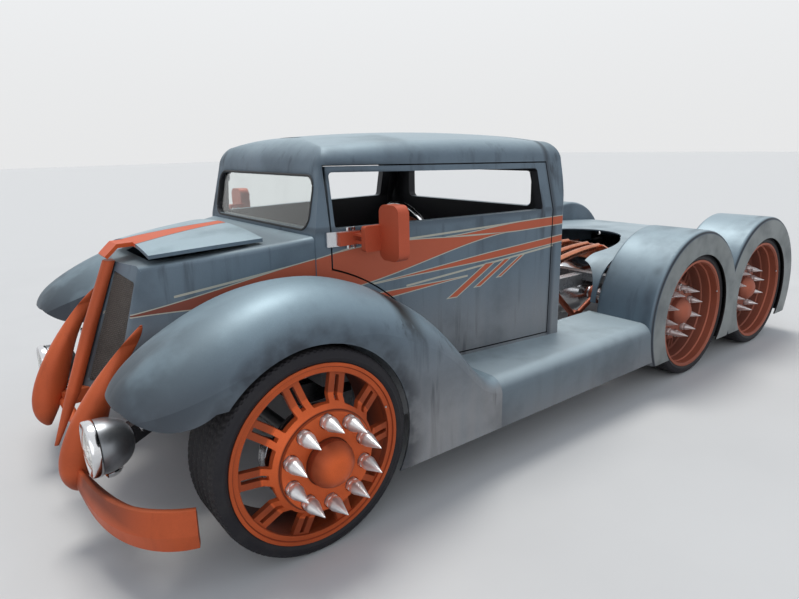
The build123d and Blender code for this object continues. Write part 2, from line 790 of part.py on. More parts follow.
# Nose panels: dark plates that fill in between the hood and the fenders behind the lamps
with BuildPart() as nose_panels:
    for side in (-1, 1):
        with BuildSketch(Plane.YZ.offset(front_axle_x - 434)):
            with BuildLine():
                Polyline(
                    (side * 180, 414), (side * 506, 414), (side * 512, 500), (side * 500, 560), (side * 180, 560),
                    close=True,
                )
            make_face()
        extrude(amount=6)
    add(hood_solid(0.0), mode=Mode.SUBTRACT)
    for side in (-1, 1):
        add(fender_solid(side, 0.0), mode=Mode.SUBTRACT)
save(nose_panels.part, "nose_panels")


# Running boards with deep skirts, cut to the front tub's curve
def board_profile(side, inset):
    last = fender_table[-1]
    y0 = last[1] + inset
    y1 = last[2] - inset
    top = board_top_z - inset
    sh = last[6] - inset * 0.5
    low = skirt_bottom_z - (20.0 if inset else 0.0)
    yc = last[4]
    with BuildSketch(Plane.YZ.offset(board_start_x + 0.3 - (1 if inset else 0))) as s:
        with BuildLine():
            Line((side * y0, low), (side * y0, top))
            Line((side * y0, top), (side * yc, top))
            ThreePointArc(
                (side * yc, top), (side * (yc + 0.70 * (y1 - yc)), sh + 0.70 * (top - sh)), (side * y1, sh)
            )
            Line((side * y1, sh), (side * y1, low))
            Line((side * y1, low), (side * y0, low))
        make_face()
    return s.sketch


board_len = rear_axle_1_x - board_start_x - 250.0
with BuildPart() as running_boards:
    for side in (-1, 1):
        add(extrude(board_profile(side, 0.0), amount=board_len, mode=Mode.PRIVATE))
    for side in (-1, 1):
        add(extrude(board_profile(side, sheet_t), amount=board_len + 5, mode=Mode.PRIVATE), mode=Mode.SUBTRACT)
    with BuildSketch(Plane.XZ.offset(-1100)):
        with Locations((rear_axle_1_x, hub_z)):
            Circle(tub_r + 0.3)
    extrude(amount=2200, mode=Mode.SUBTRACT)
save(running_boards.part, "running_boards")


# Rear tubs: two drums a side, joined, with flat ring faces
def tub_drum(side, axle_x, inset):
    r = tub_r - inset
    y0 = tub_inner_y + inset
    y1 = tub_face_y - inset
    e = tub_edge_r - inset
    d = e * 0.2929
    with BuildPart() as drum:
        with BuildSketch(Plane.XY):
            with BuildLine():
                Polyline((0, side * y1), (0, side * y0), (r - e, side * y0))
                ThreePointArc((r - e, side * y0), (r - d, side * (y0 + d)), (r, side * (y0 + e)))
                Line((r, side * (y0 + e)), (r, side * (y1 - e)))
                ThreePointArc((r, side * (y1 - e)), (r - d, side * (y1 - d)), (r - e, side * y1))
                Line((r - e, side * y1), (0, side * y1))
            make_face()
        revolve(axis=Axis.Y)
    return drum.part.moved(Location((axle_x, 0, hub_z)))


with BuildPart() as rear_tubs:
    for side in (-1, 1):
        for axle_x in (rear_axle_1_x, rear_axle_2_x):
            add(tub_drum(side, axle_x, 0.0))
    for side in (-1, 1):
        for axle_x in (rear_axle_1_x, rear_axle_2_x):
            add(tub_drum(side, axle_x, tub_t), mode=Mode.SUBTRACT)
    with BuildSketch(Plane.XZ.offset(-1100)):
        with Locations((rear_axle_1_x, hub_z), (rear_axle_2_x, hub_z)):
            Circle(tub_open_r)
    extrude(amount=300, mode=Mode.SUBTRACT)
    with BuildSketch(Plane.XZ.offset(800)):
        with Locations((rear_axle_1_x, hub_z), (rear_axle_2_x, hub_z)):
            Circle(tub_open_r)
    extrude(amount=300, mode=Mode.SUBTRACT)
    with BuildSketch(Plane.XZ.offset(-700)):
        with Locations((rear_axle_1_x, 300), (rear_axle_2_x, 300)):
            Rectangle(300, 460)
    extrude(amount=1400, mode=Mode.SUBTRACT)
    with BuildSketch(Plane.XY.offset(-200)):
        with Locations(((rear_axle_1_x + rear_axle_2_x) / 2, 0)):
            Rectangle(2500, 2200)
    extrude(amount=200 + tub_bottom_z, mode=Mode.SUBTRACT)
save(rear_tubs.part, "rear_tubs")


# Rear deck: sheet between the tubs, rolled down at both ends, with a pointed opening over the axle
deck_half_w = tub_inner_y - seat_gap
deck_front = -497.0
deck_rear = tandem_gap + 480.0
deck_mid = (deck_front + deck_rear) / 2


def deck_profile(inset):
    """Outer line of the deck in side view, from the front sill over the top to the rear pan."""
    with BuildSketch(Plane.XZ.offset(-deck_half_w)) as s:
        with BuildLine():
            f = deck_front + inset
            r = deck_rear - inset
            Line(rear2(f, deck_sill_z - 25), rear2(f, deck_sill_z))
            ThreePointArc(
                rear2(f, deck_sill_z), rear2(deck_front + 78 + 0.8 * inset, 642 - 0.8 * inset),
                rear2(deck_front + 240, deck_top_z - inset),
            )
            ThreePointArc(
                rear2(deck_front + 240, deck_top_z - inset), rear2(deck_mid, deck_crown_z - inset),
                rear2(deck_rear - 230, deck_top_z - 16 - inset),
            )
            ThreePointArc(
                rear2(deck_rear - 230, deck_top_z - 16 - inset), rear2(deck_rear - 66 - 0.8 * inset, 622 - 0.8 * inset),
                rear2(r, deck_sill_z - 20),
            )
            Line(rear2(r, deck_sill_z - 20), rear2(r - 12, deck_low_z))
            Line(rear2(r - 12, deck_low_z), rear2(r - 12, deck_low_z - 200))
            Line(rear2(r - 12, deck_low_z - 200), rear2(f, deck_low_z - 200))
            Line(rear2(f, deck_low_z - 200), rear2(f, deck_sill_z - 25))
        make_face()
    return extrude(s.sketch, amount=2 * deck_half_w, mode=Mode.PRIVATE)


with BuildPart() as rear_deck:
    add(deck_profile(0.0))
    add(deck_profile(deck_t), mode=Mode.SUBTRACT)
    with BuildSketch(Plane.XZ.offset(-deck_half_w - 10)):
        with BuildLine():
            Polyline(
                rear2(deck_front - 60, 0), rear2(deck_front - 60, deck_sill_z - 25), rear2(deck_rear - 60, deck_sill_z - 25),
                rear2(deck_rear - 60, deck_low_z), rear2(deck_rear + 60, deck_low_z), rear2(deck_rear + 60, 0), close=True,
            )
        make_face()
    extrude(amount=2 * deck_half_w + 20, mode=Mode.SUBTRACT)
    with BuildSketch(Plane.XY.offset(deck_sill_z - 40)):
        with BuildLine():
            for q in (-1, 1):
                Line(rear2(deck_front - 40, 0), rear2(deck_front - 40, q * 436))
                Line(rear2(deck_front - 40, q * 436), rear2(-327, q * 440))
                ThreePointArc(rear2(-327, q * 440), rear2(-27, q * 410), rear2(213, q * 290))
                ThreePointArc(rear2(213, q * 290), rear2(368, q * 160), rear2(423, 0))
        make_face()
    extrude(amount=300, mode=Mode.SUBTRACT)
    for side in (-1, 1):
        with BuildSketch(Plane.YZ.offset(rear_axle_1_x + deck_front - 40)):
            with BuildLine():
                Polyline((side * 430, deck_sill_z - 40), (side * 430, 668))
                ThreePointArc((side * 430, 668), (side * 528, 622), (side * 568, deck_sill_z))
                Polyline((side * 568, deck_sill_z), (side * 568, deck_sill_z - 40), (side * 430, deck_sill_z - 40))
            make_face()
        extrude(amount=200, mode=Mode.SUBTRACT)
save(rear_deck.part, "rear_deck")


# Frame: two stepped rails with cross members, engine mounts and spring pads
with BuildPart() as frame_rails:
    for side in (-1, 1):
        with BuildSketch(Plane.XZ.offset(-side * rail_y)):
            with BuildLine():
                Polyline(
                    at2(-530, 290), at2(-300, front_rail_z), at2(90, front_rail_z), at2(220, rail_low_z),
                    rear2(-747, rail_low_z), rear2(-567, rear_rail_z), rear2(tandem_gap + 388, rear_rail_z),
                    rear2(tandem_gap + 388, rear_rail_top_z), rear2(-607, rear_rail_top_z), rear2(-787, rail_top_z),
                    at2(240, rail_top_z), at2(120, 459), at2(-330, 459), at2(-530, 360), close=True,
                )
            make_face()
        extrude(amount=-side * rail_w)
        with BuildSketch(Plane.YZ.offset(front_axle_x - 10)):
            with BuildLine():
                Polyline(
                    (side * (rail_y + 4), 405), (side * (rail_y + 4), 455), (side * 215, engine_low_z - seat_gap),
                    (side * 150, engine_low_z - seat_gap), (side * 150, engine_low_z - 24), (side * 205, engine_low_z - 24),
                    close=True,
                )
            make_face()
        extrude(amount=60)
        with BuildSketch(Plane.XY.offset(hub_z + beam_r + seat_gap)):
            with Locations((front_axle_x, side * (rail_y + rail_w / 2))):
                Rectangle(80, rail_w)
        extrude(amount=front_rail_z - hub_z - beam_r)
    for x in (480.0, 1000.0, 1500.0):
        with BuildSketch(Plane.XY.offset(rail_top_z - 45)):
            with Locations(at2(x, 0)):
                Rectangle(70, 2 * (board_inner_y - seat_gap))
        extrude(amount=45)
    for x, low in ((-297.0, 530.0), (433.0, 505.0), (tandem_gap + 348, 505.0)):
        with BuildSketch(Plane.XY.offset(low)):
            with Locations(rear2(x, 0)):
                Rectangle(60, 2 * (tub_inner_y - seat_gap))
        extrude(amount=50)
    with BuildSketch(Plane.XY.offset(front_rail_z)):
        with Locations(at2(-260, 0)):
            Rectangle(60, 2 * rail_y + 10)
    extrude(amount=50)
save(frame_rails.part, "frame_rails")

# Air springs between the rear axle tubes and the rails
with BuildPart() as one_spring:
    spring_low_z = hub_z + axle_tube_r + seat_gap
    spring_high_z = rear_rail_z - seat_gap
    spring_mid_z = (spring_low_z + spring_high_z) / 2
    with BuildSketch(Plane.XZ):
        with BuildLine():
            Polyline((0, spring_low_z), (46, spring_low_z), (46, spring_low_z + 8), (50, spring_low_z + 8))
            ThreePointArc((50, spring_low_z + 8), (62, (spring_low_z + 8 + spring_mid_z) / 2), (50, spring_mid_z))
            ThreePointArc((50, spring_mid_z), (62, (spring_high_z - 8 + spring_mid_z) / 2), (50, spring_high_z - 8))
            Polyline(
                (50, spring_high_z - 8), (46, spring_high_z - 8), (46, spring_high_z), (0, spring_high_z),
                (0, spring_low_z),
            )
        make_face()
    revolve(axis=Axis.Z)
with BuildPart() as air_springs:
    for axle_x in (rear_axle_1_x, rear_axle_2_x):
        for side in (-1, 1):
            add(one_spring.part.moved(Location((axle_x, side * (rail_y + rail_w / 2), 0))))
save(air_springs.part, "air_springs")

# Rear links: clamps on the axle tubes, trailing arms, and struts up to the rails
link_y = rail_y - 55.0
link_low = (-230.0, 250.0)
link_high = (-530.0, 525.0)
link_parts = [
    (link_low, link_high, 19.0),
    (link_low, (0.0, hub_z), 17.0),
    ((0.0, hub_z), (tandem_gap, hub_z), 15.0),
]
with BuildPart() as rear_links:
    for side in (-1, 1):
        with BuildSketch(Plane.XZ.offset(-side * (link_y - 20))):
            with Locations(rear2(0, hub_z), rear2(tandem_gap, hub_z)):
                Circle(axle_tube_r + 17)
            with Locations(rear2(*link_low)):
                Circle(44)
        extrude(amount=-side * 39.7)
        with BuildSketch(Plane.XZ.offset(-side * (link_y - 22))):
            with Locations(rear2(*link_high)):
                Circle(26)
        extrude(amount=-side * (rail_y - link_y + 22 - seat_gap))
        for (x0, z0), (x1, z1), r in link_parts:
            start = (rear_axle_1_x + x0, side * link_y, z0)
            run = Vector(x1 - x0, 0, z1 - z0)
            with BuildSketch(Plane(origin=start, z_dir=run)):
                Circle(r)
            extrude(amount=run.length)
        with BuildSketch(Plane.XZ.offset(-side * (link_y - 25))):
            with Locations(rear2(0, hub_z), rear2(tandem_gap, hub_z)):
                Circle(axle_tube_r + seat_gap)
        extrude(amount=-side * 50, mode=Mode.SUBTRACT)
save(rear_links.part, "rear_links")

# Bent tubes seen through the deck opening, tied to a plate across the rails
# y at the cab, y at the plate, z at the cab, z at the plate, tube radius
deck_tube_table = [
    (210.0, 170.0, 430.0, 655.0, 24.0),
    (120.0, 80.0, 470.0, 664.0, 18.0),
]
with BuildPart() as deck_tubes:
    for side in (-1, 1):
        for y0, y1, z0, z1, r in deck_tube_table:
            start = (rear_axle_1_x - 887, side * y0, z0)
            middle = (rear_axle_1_x - 407, side * (y0 + y1) / 2, z0 + 0.75 * (z1 - z0))
            with BuildLine() as tube_path:
                ThreePointArc(start, middle, (rear_axle_1_x + 143, side * y1, z1))
            with BuildSketch(Plane(origin=start, z_dir=tube_path.line % 0)):
                Circle(r)
            sweep(path=tube_path.line)
    with BuildSketch(Plane.YZ.offset(rear_axle_1_x + 130)):
        with BuildLine():
            Polyline(
                (-rail_y - rail_w, rear_rail_top_z + seat_gap), (rail_y + rail_w, rear_rail_top_z + seat_gap),
                (rail_y + rail_w, rear_rail_top_z + 25), (210, 672), (-210, 672),
                (-rail_y - rail_w, rear_rail_top_z + 25), close=True,
            )
        make_face()
    extrude(amount=16)
save(deck_tubes.part, "deck_tubes")

# Tail lamps: round lenses low on the rear pan, which leans in below them
pan_lean = 1.9
with BuildPart() as tail_lamp:
    with BuildSketch(Plane.XZ):
        with BuildLine():
            Polyline((0, 0), (0, 46), (3, 48), (7, 36), (9.2, 14), (9.2, 0), (0, 0))
        make_face()
    revolve(axis=Axis.X)
with BuildPart() as tail_lamps:
    for side in (-1, 1):
        for y in (330.0, 440.0):
            add(tail_lamp.part.moved(Location((rear_axle_1_x + deck_rear - pan_lean, side * y, 380))))
save(tail_lamps.part, "tail_lamps")

# Cab floor, seat, dash, engine block
floor_top_z = rail_top_z + seat_gap + 16.0
with BuildPart() as cab_floor:
    with BuildSketch(Plane.XY.offset(rail_top_z + seat_gap)):
        with BuildLine():
            Polyline(
                at2(312, -470), at2(800, -540), at2(1550, -540), at2(1550, 540), at2(800, 540), at2(312, 470),
                close=True,
            )
        make_face()
    extrude(amount=16)
    with BuildSketch(Plane.XY.offset(floor_top_z)):
        with Locations(at2(330, 0)):
            Rectangle(16, 920)
    extrude(amount=520)
save(cab_floor.part, "cab_floor")

with BuildPart() as seat:
    with BuildSketch(Plane.XZ.offset(-520)):
        with BuildLine():
            Polyline(
                at2(1060, floor_top_z + seat_gap), at2(1050, 560), at2(1400, 540), at2(1440, 960), at2(1530, 960),
                at2(1530, floor_top_z + seat_gap),
                close=True,
            )
        make_face()
    extrude(amount=1040)
save(seat.part, "bench_seat")

with BuildPart() as dash:
    with BuildSketch(Plane.XZ.offset(-450)):
        with BuildLine():
            Polyline(
                at2(338 + seat_gap, 760), at2(338 + seat_gap, 1000), at2(430, 1000), at2(500, 960), at2(500, 760),
                close=True,
            )
        make_face()
    extrude(amount=900)
save(dash.part, "dashboard")

with BuildPart() as engine:
    with BuildSketch(Plane.XY.offset(engine_low_z)):
        with Locations(at2(20, 0)):
            Rectangle(440, 420)
    extrude(amount=340)
save(engine.part, "engine_block")

# Hood lid: floating leaf panel with a beak along its middle
# x from axle, half width, edge z, middle z
lid_table = [
    (-286.0, 262.0, 984.0, 1012.0),
    (-90.0, 345.0, 1006.0, 1036.0),
    (104.0, 405.0, 1022.0, 1052.0),
]
with BuildPart() as hood_lid:
    for x, half, edge_z, mid_z in lid_table:
        with BuildSketch(Plane.YZ.offset(front_axle_x + x)):
            with BuildLine():
                ThreePointArc((-half, edge_z), (0, mid_z), (half, edge_z))
                Line((half, edge_z), (half, edge_z - lid_t))
                ThreePointArc((half, edge_z - lid_t), (0, mid_z - lid_t), (-half, edge_z - lid_t))
                Line((-half, edge_z - lid_t), (-half, edge_z))
            make_face()
    loft()
    with BuildSketch(Plane.XZ.offset(-58)):
        with BuildLine():
            Polyline(
                at2(-280, 1012), at2(-345, 1010), at2(-392, 966), at2(-384, 956), at2(-342, 994), at2(-280, 996),
                close=True,
            )
        make_face()
    extrude(amount=116)
    for side in (-1, 1):
        with BuildSketch(Plane.XZ.offset(-side * (hinge_y - hinge_half))):
            with Locations(at2(hinge_x, hinge_z)):
                Circle(7)
            with Locations(at2(hinge_x - 1, hinge_z + 11)):
                Rectangle(10, 22)
        extrude(amount=-side * 2 * hinge_half)
        with BuildSketch(Plane.XZ.offset(-side * (hinge_y - hinge_half))):
            with Locations(at2(hinge_x, hinge_z)):
                Circle(pin_r + running_fit)
        extrude(amount=-side * 2 * hinge_half, mode=Mode.SUBTRACT)
save(hood_lid.part, "hood_lid")

# Steering wheel, column and dash support
wheel_tilt = 18.0
wheel_centre = at(900, -300, 930)
wheel_r = 170.0
grip_r = 13.0
shaft_r = 16.0
column_axis = (cos(radians(wheel_tilt)), 0, sin(radians(wheel_tilt)))
wheel_plane = Plane(origin=wheel_centre, x_dir=(0, 1, 0), z_dir=column_axis)
with BuildPart() as steering_wheel:
    with BuildSketch(Plane(origin=wheel_plane.origin, x_dir=wheel_plane.x_dir, z_dir=wheel_plane.y_dir)):
        with Locations((wheel_r, 0)):
            Circle(grip_r)
    revolve(axis=Axis(wheel_plane.origin, wheel_plane.z_dir))
    with BuildSketch(wheel_plane.offset(-5)):
        for angle in (90, 210, 330):
            with Locations(Rotation(0, 0, angle) * Location((wheel_r / 2, 0, 0))):
                Rectangle(wheel_r - 4, 26)
    extrude(amount=10)
    with BuildSketch(wheel_plane.offset(-30)):
        Circle(34)
    extrude(amount=44)
    with BuildSketch(wheel_plane.offset(-31)):
        Circle(shaft_r + running_fit)
    extrude(amount=31, mode=Mode.SUBTRACT)
save(steering_wheel.part, "steering_wheel")
with BuildPart() as steering_column:
    with BuildSketch(wheel_plane.offset(-1)):
        Circle(shaft_r)
    extrude(amount=-60)
    with BuildSketch(wheel_plane.offset(-36)):
        Circle(27)
    extrude(amount=-400)
    add(dash.part, mode=Mode.SUBTRACT)
save(steering_column.part, "steering_column")


# Door mirrors: clamp plate, two-bar arm and rounded housing
for side, name in ((-1, "mirror_left"), (1, "mirror_right")):
    with BuildPart() as mirror:
        with BuildSketch(Plane.XZ.offset(-side * 530)):
            with Locations(at2(392, 1008)):
                Rectangle(96, 52)
        extrude(amount=-side * 52)
        add(cab_outer_solid, mode=Mode.SUBTRACT)
        for dz in (-14, 14):
            with BuildSketch(Plane.XZ.offset(-side * 578)):
                with Locations(at2(424, 1008 + dz)):
                    Rectangle(30, 10)
            extrude(amount=-side * 60)
        with BuildSketch(Plane.XZ.offset(-side * 636)):
            with Locations(at2(455, 1010)):
                RectangleRounded(96, 100, 12)
        extrude(amount=-side * 26)
        with BuildSketch(Plane.YZ.offset(front_axle_x + 480)):
            with Locations((side * 716, 1032)):
                RectangleRounded(124, 215, 34)
        extrude(amount=52)
        with BuildSketch(Plane.YZ.offset(front_axle_x + 524)):
            with Locations((side * 716, 1032)):
                RectangleRounded(108, 199, 28)
        extrude(amount=10, mode=Mode.SUBTRACT)
    save(mirror.part, name)
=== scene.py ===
# %% [markdown]
# # A six-wheel hot rod, dressed
# The solids of the car come from the CAD pack. This lesson adds what the solids leave out:
# fogged satin paint, copper wheels, tread, lamps, a padded bench and the light to see them in.
# The pack is loaded first, because every piece is measured from it and rides on one of its bodies.

# %% Load the solids
import math

import bmesh
import bpy
from mathutils import Matrix, Vector
from mathutils.bvhtree import BVHTree


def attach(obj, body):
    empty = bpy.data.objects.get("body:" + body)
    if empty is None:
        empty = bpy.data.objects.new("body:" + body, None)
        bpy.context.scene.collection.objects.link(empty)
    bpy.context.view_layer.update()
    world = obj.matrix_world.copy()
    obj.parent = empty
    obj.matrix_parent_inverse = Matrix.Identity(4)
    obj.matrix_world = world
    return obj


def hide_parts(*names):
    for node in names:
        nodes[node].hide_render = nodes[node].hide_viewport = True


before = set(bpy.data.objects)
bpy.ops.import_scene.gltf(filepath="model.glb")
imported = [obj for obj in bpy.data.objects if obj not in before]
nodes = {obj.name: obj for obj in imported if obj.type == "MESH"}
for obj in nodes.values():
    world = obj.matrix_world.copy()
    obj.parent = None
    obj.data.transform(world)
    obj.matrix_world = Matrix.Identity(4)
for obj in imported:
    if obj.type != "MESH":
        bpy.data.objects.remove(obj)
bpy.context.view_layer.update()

# %% [markdown]
# ## Camera
# The photograph was taken standing in front of the left fender, a little above the hood.
# The place, the turn and the lens were solved from points that can be found in the picture and on the car.
# The lens is given for a 36 mm wide sensor, and the camera leans about one degree.

# %% Camera
camera_place = Vector((-2.4621, -2.5313, 1.3606))
camera_yaw, camera_pitch, camera_roll = (math.radians(a) for a in (37.4654, -14.6338, -1.2148))
camera_data = bpy.data.cameras.new("camera")
camera_data.sensor_width = 36.0
camera_data.lens = 26.73
camera_data.clip_end = 300.0
camera = bpy.data.objects.new("camera", camera_data)
bpy.context.scene.collection.objects.link(camera)
ahead = Vector((
    math.sin(camera_yaw) * math.cos(camera_pitch),
    math.cos(camera_yaw) * math.cos(camera_pitch),
    math.sin(camera_pitch),
))
level = Vector((math.cos(camera_yaw), -math.sin(camera_yaw), 0.0))
above = level.cross(ahead)
right = math.cos(camera_roll) * level + math.sin(camera_roll) * above
upward = -math.sin(camera_roll) * level + math.cos(camera_roll) * above
camera.matrix_world = Matrix((
    (right.x, upward.x, -ahead.x, camera_place.x),
    (right.y, upward.y, -ahead.y, camera_place.y),
    (right.z, upward.z, -ahead.z, camera_place.z),
    (0.0, 0.0, 0.0, 1.0),
))
bpy.context.scene.camera = camera
bpy.context.scene.view_settings.view_transform = "Standard"
print("camera", camera_place, "lens", camera_data.lens)

# %% [markdown]
# ## A short way to write node trees
# A material is a tree of nodes. Written out in full it hides its idea behind long lines,
# so this small class adds nodes to a tree and hands back their output sockets.
# Each method takes either a number or another node's socket.

# %% Node writer
class Board:
    """One node tree with short ways to add to it."""

    def __init__(self, tree):
        self.tree = tree

    def put(self, socket, value):
        if isinstance(value, bpy.types.NodeSocket):
            self.tree.links.new(value, socket)
        else:
            socket.default_value = value

    def node(self, kind, **settings):
        made = self.tree.nodes.new("ShaderNode" + kind)
        for key, value in settings.items():
            setattr(made, key, value)
        return made

    def math(self, operation, a, b=0.0, c=0.0):
        made = self.node("Math", operation=operation)
        for socket, value in zip(made.inputs, (a, b, c)):
            self.put(socket, value)
        return made.outputs[0]

    def add(self, a, b):
        return self.math("ADD", a, b)

    def take(self, a, b):
        return self.math("SUBTRACT", a, b)

    def times(self, a, b):
        return self.math("MULTIPLY", a, b)

    def size(self, a):
        return self.math("ABSOLUTE", a)

    def either(self, a, b):
        return self.math("MAXIMUM", a, b)

    def both(self, a, b):
        return self.math("MINIMUM", a, b)

    def fade(self, value, low, high, start=0.0, end=1.0):
        """Runs smoothly from start at low to end at high."""
        made = self.node("MapRange", interpolation_type="SMOOTHSTEP")
        for socket, given in zip(made.inputs, (value, low, high, start, end)):
            self.put(socket, given)
        return made.outputs[0]

    def mix(self, share, a, b):
        made = self.node("Mix", data_type="RGBA")
        self.put(made.inputs[0], share)
        self.put(made.inputs[6], a)
        self.put(made.inputs[7], b)
        return made.outputs[2]

    def xyz(self, vector):
        made = self.node("SeparateXYZ")
        self.put(made.inputs[0], vector)
        return made.outputs

    def point(self, x, y, z):
        made = self.node("CombineXYZ")
        for socket, value in zip(made.inputs, (x, y, z)):
            self.put(socket, value)
        return made.outputs[0]

    def stretch(self, vector, factors):
        made = self.node("VectorMath", operation="MULTIPLY")
        self.put(made.inputs[0], vector)
        self.put(made.inputs[1], factors)
        return made.outputs[0]

    def noise(self, vector, scale, detail=3.0, roughness=0.5):
        made = self.node("TexNoise")
        self.put(made.inputs["Vector"], vector)
        self.put(made.inputs["Scale"], scale)
        made.inputs["Detail"].default_value = detail
        made.inputs["Roughness"].default_value = roughness
        return made.outputs["Fac"]

    def use(self, group, **values):
        """Places a node group and hands back its outputs by name."""
        made = self.node("Group")
        made.node_tree = group
        for key, value in values.items():
            self.put(made.inputs[key.replace("_", " ")], value)
        return made.outputs


def new_group(name, inputs, outputs):
    """An empty node group with named sockets: (board, its inputs, its output sockets)."""
    kinds = {"value": "NodeSocketFloat", "vector": "NodeSocketVector", "color": "NodeSocketColor"}
    tree = bpy.data.node_groups.new(name, "ShaderNodeTree")
    for label, kind, value in inputs:
        tree.interface.new_socket(label, in_out="INPUT", socket_type=kinds[kind]).default_value = value
    for label, kind in outputs:
        tree.interface.new_socket(label, in_out="OUTPUT", socket_type=kinds[kind])
    source = tree.nodes.new("NodeGroupInput").outputs
    sink = tree.nodes.new("NodeGroupOutput").inputs
    return Board(tree), source, sink


print("node writer ready")

# %% [markdown]
# ## Fogged satin paint as one group
# The car wears a satin finish that was sprayed in thin coats, fogged darker low down and along the edges,
# with soft runs that look like rain streaks. Faces that look at the sky take a paler colour: a painted sky
# sheen.
# An image texture could carry this, but noise and a few gradients do it from the point's own place,
# so the finish stays put when a door opens and fits any panel.
# The same group makes the blue paint and the copper paint: only its values differ.

# %% Group: fogged satin
fog, fog_in, fog_out = new_group("fogged_satin", [
    ("Place", "vector", (0, 0, 0)), ("Facing", "vector", (0, 0, 1)),
    ("Body", "color", (0.12, 0.17, 0.22, 1)), ("Top", "color", (0.25, 0.33, 0.38, 1)),
    ("Haze", "color", (0.15, 0.15, 0.16, 1)), ("Shadow", "color", (0.03, 0.035, 0.045, 1)),
    ("Streaks", "value", 0.5), ("Low", "value", 0.2), ("High", "value", 0.7), ("Extra", "value", 0.0),
], [("Color", "color"), ("Roughness", "value"), ("Grain", "value")])
place, facing = fog_in["Place"], fog_in["Facing"]
up = fog.fade(fog.xyz(facing)[2], 0.28, 1.0)
side_share = fog.take(1.0, up)
cloud = fog.noise(place, 3.2, 4.0, 0.55)
runs = fog.noise(fog.stretch(place, (15.0, 15.0, 1.3)), 1.0, 4.0, 0.6)
patches = fog.fade(fog.noise(place, 1.7, 2.0), 0.42, 0.66)
streak = fog.times(fog.fade(runs, 0.5, 0.74), fog.add(0.35, fog.times(patches, 0.65)))
streak = fog.times(fog.times(streak, side_share), fog_in["Streaks"])
low_fog = fog.fade(fog.xyz(place)[2], fog_in["Low"], fog_in["High"], 1.0, 0.0)
low_fog = fog.times(low_fog, fog.add(0.55, fog.times(runs, 0.7)))
low_fog = fog.times(low_fog, fog.add(0.15, fog.times(side_share, 0.85)))
cloud_fog = fog.times(fog.fade(cloud, 0.45, 0.75), 0.35)
shade = fog.either(streak, fog.either(cloud_fog, fog_in["Extra"]))
fleck = fog.noise(place, 620.0, 1.0)
# Painted sky sheen: faces that look up take the paler second colour.
tinted = fog.mix(up, fog_in["Body"], fog_in["Top"])
tinted = fog.mix(low_fog, tinted, fog_in["Haze"])
tinted = fog.mix(shade, tinted, fog_in["Shadow"])
bright = fog.node("HueSaturation")
fog.put(bright.inputs["Color"], tinted)
fog.put(bright.inputs["Value"], fog.fade(fleck, 0.3, 0.7, 0.93, 1.07))
fog.put(fog_out["Color"], bright.outputs[0])
fog.put(fog_out["Roughness"], fog.add(fog.fade(cloud, 0.3, 0.7, 0.42, 0.52), fog.times(shade, 0.14)))
fog.put(fog_out["Grain"], fog.noise(place, 300.0, 2.0))
print("group", fog.tree.name, "nodes", len(fog.tree.nodes))

# %% [markdown]
# ## Rings round an axle
# Wheel arches, drum fenders and wheels are all round about an axle, and so are their wear and their painted
# shade.
# This group measures how far a point is from the nearest axle line. A band of that radius
# then gives a groove of painted shade, an edge line or a fogged lip without painting anything by hand.

# %% Group: nearest axle
hub_height = 0.3665
axle_xs = (-1.596, 0.931, 1.796)
ring, ring_in, ring_out = new_group("nearest_axle", [("Place", "vector", (0, 0, 0))], [("Radius", "value")])
ring_x, _, ring_z = ring.xyz(ring_in["Place"])
rise = ring.math("POWER", ring.take(ring_z, hub_height), 2.0)
nearest = None
for axle_x in axle_xs:
    reach = ring.math("SQRT", ring.add(ring.math("POWER", ring.size(ring.take(ring_x, axle_x)), 2.0), rise))
    nearest = reach if nearest is None else ring.both(nearest, reach)
ring.put(ring_out["Radius"], nearest)

band, band_in, band_out = new_group(
    "soft_band", [("Value", "value", 0.0), ("Middle", "value", 0.1), ("Reach", "value", 0.01)],
    [("Mask", "value")],
)
off_middle = band.size(band.take(band_in["Value"], band_in["Middle"]))
band.put(band_out["Mask"], band.fade(off_middle, 0.0, band_in["Reach"], 1.0, 0.0))
print("groups", ring.tree.name, band.tree.name)

# %% [markdown]
# ## Side stripes
# The side of the real car carries hand-laid orange stripes with pale pinstripes. Here the place is filled
# with a plain scheme of its own: long tapering spears, three short slanted dashes and a few fine
# pinstripes. A stripe is a distance: how far a point of the side is from the edge of the shape, below zero
# inside it. Distances can be joined by taking the smaller one, and the pinstripe is simply a thin band
# just outside zero. A spear with no width leaves only its pinstripe.

# %% Group: spear, slash and pinstripe
spear, spear_in, spear_out = new_group("spear", [
    ("Along", "value", 0.0), ("Height", "value", 0.0), ("Tip", "value", 0.0), ("Shoulder", "value", 1.0),
    ("End", "value", 2.0), ("Tip height", "value", 0.8), ("Rise", "value", 0.0), ("Bow", "value", 0.0),
    ("Half width", "value", 0.03), ("End share", "value", 0.0),
], [("Distance", "value")])
along, tip, end = spear_in["Along"], spear_in["Tip"], spear_in["End"]
run = spear.take(along, tip)
slope = spear.add(spear_in["Rise"], spear.times(run, spear_in["Bow"]))
middle = spear.add(spear_in["Tip height"], spear.times(run, slope))
opening = spear.fade(along, tip, spear_in["Shoulder"])
closing = spear.fade(along, spear_in["Shoulder"], end, 1.0, spear_in["End share"])
width = spear.times(spear_in["Half width"], spear.both(opening, closing))
past = spear.add(spear.either(spear.take(tip, along), 0.0), spear.either(spear.take(along, end), 0.0))
gap = spear.take(spear.size(spear.take(spear_in["Height"], middle)), width)
spear.put(spear_out["Distance"], spear.add(gap, spear.times(past, 10.0)))

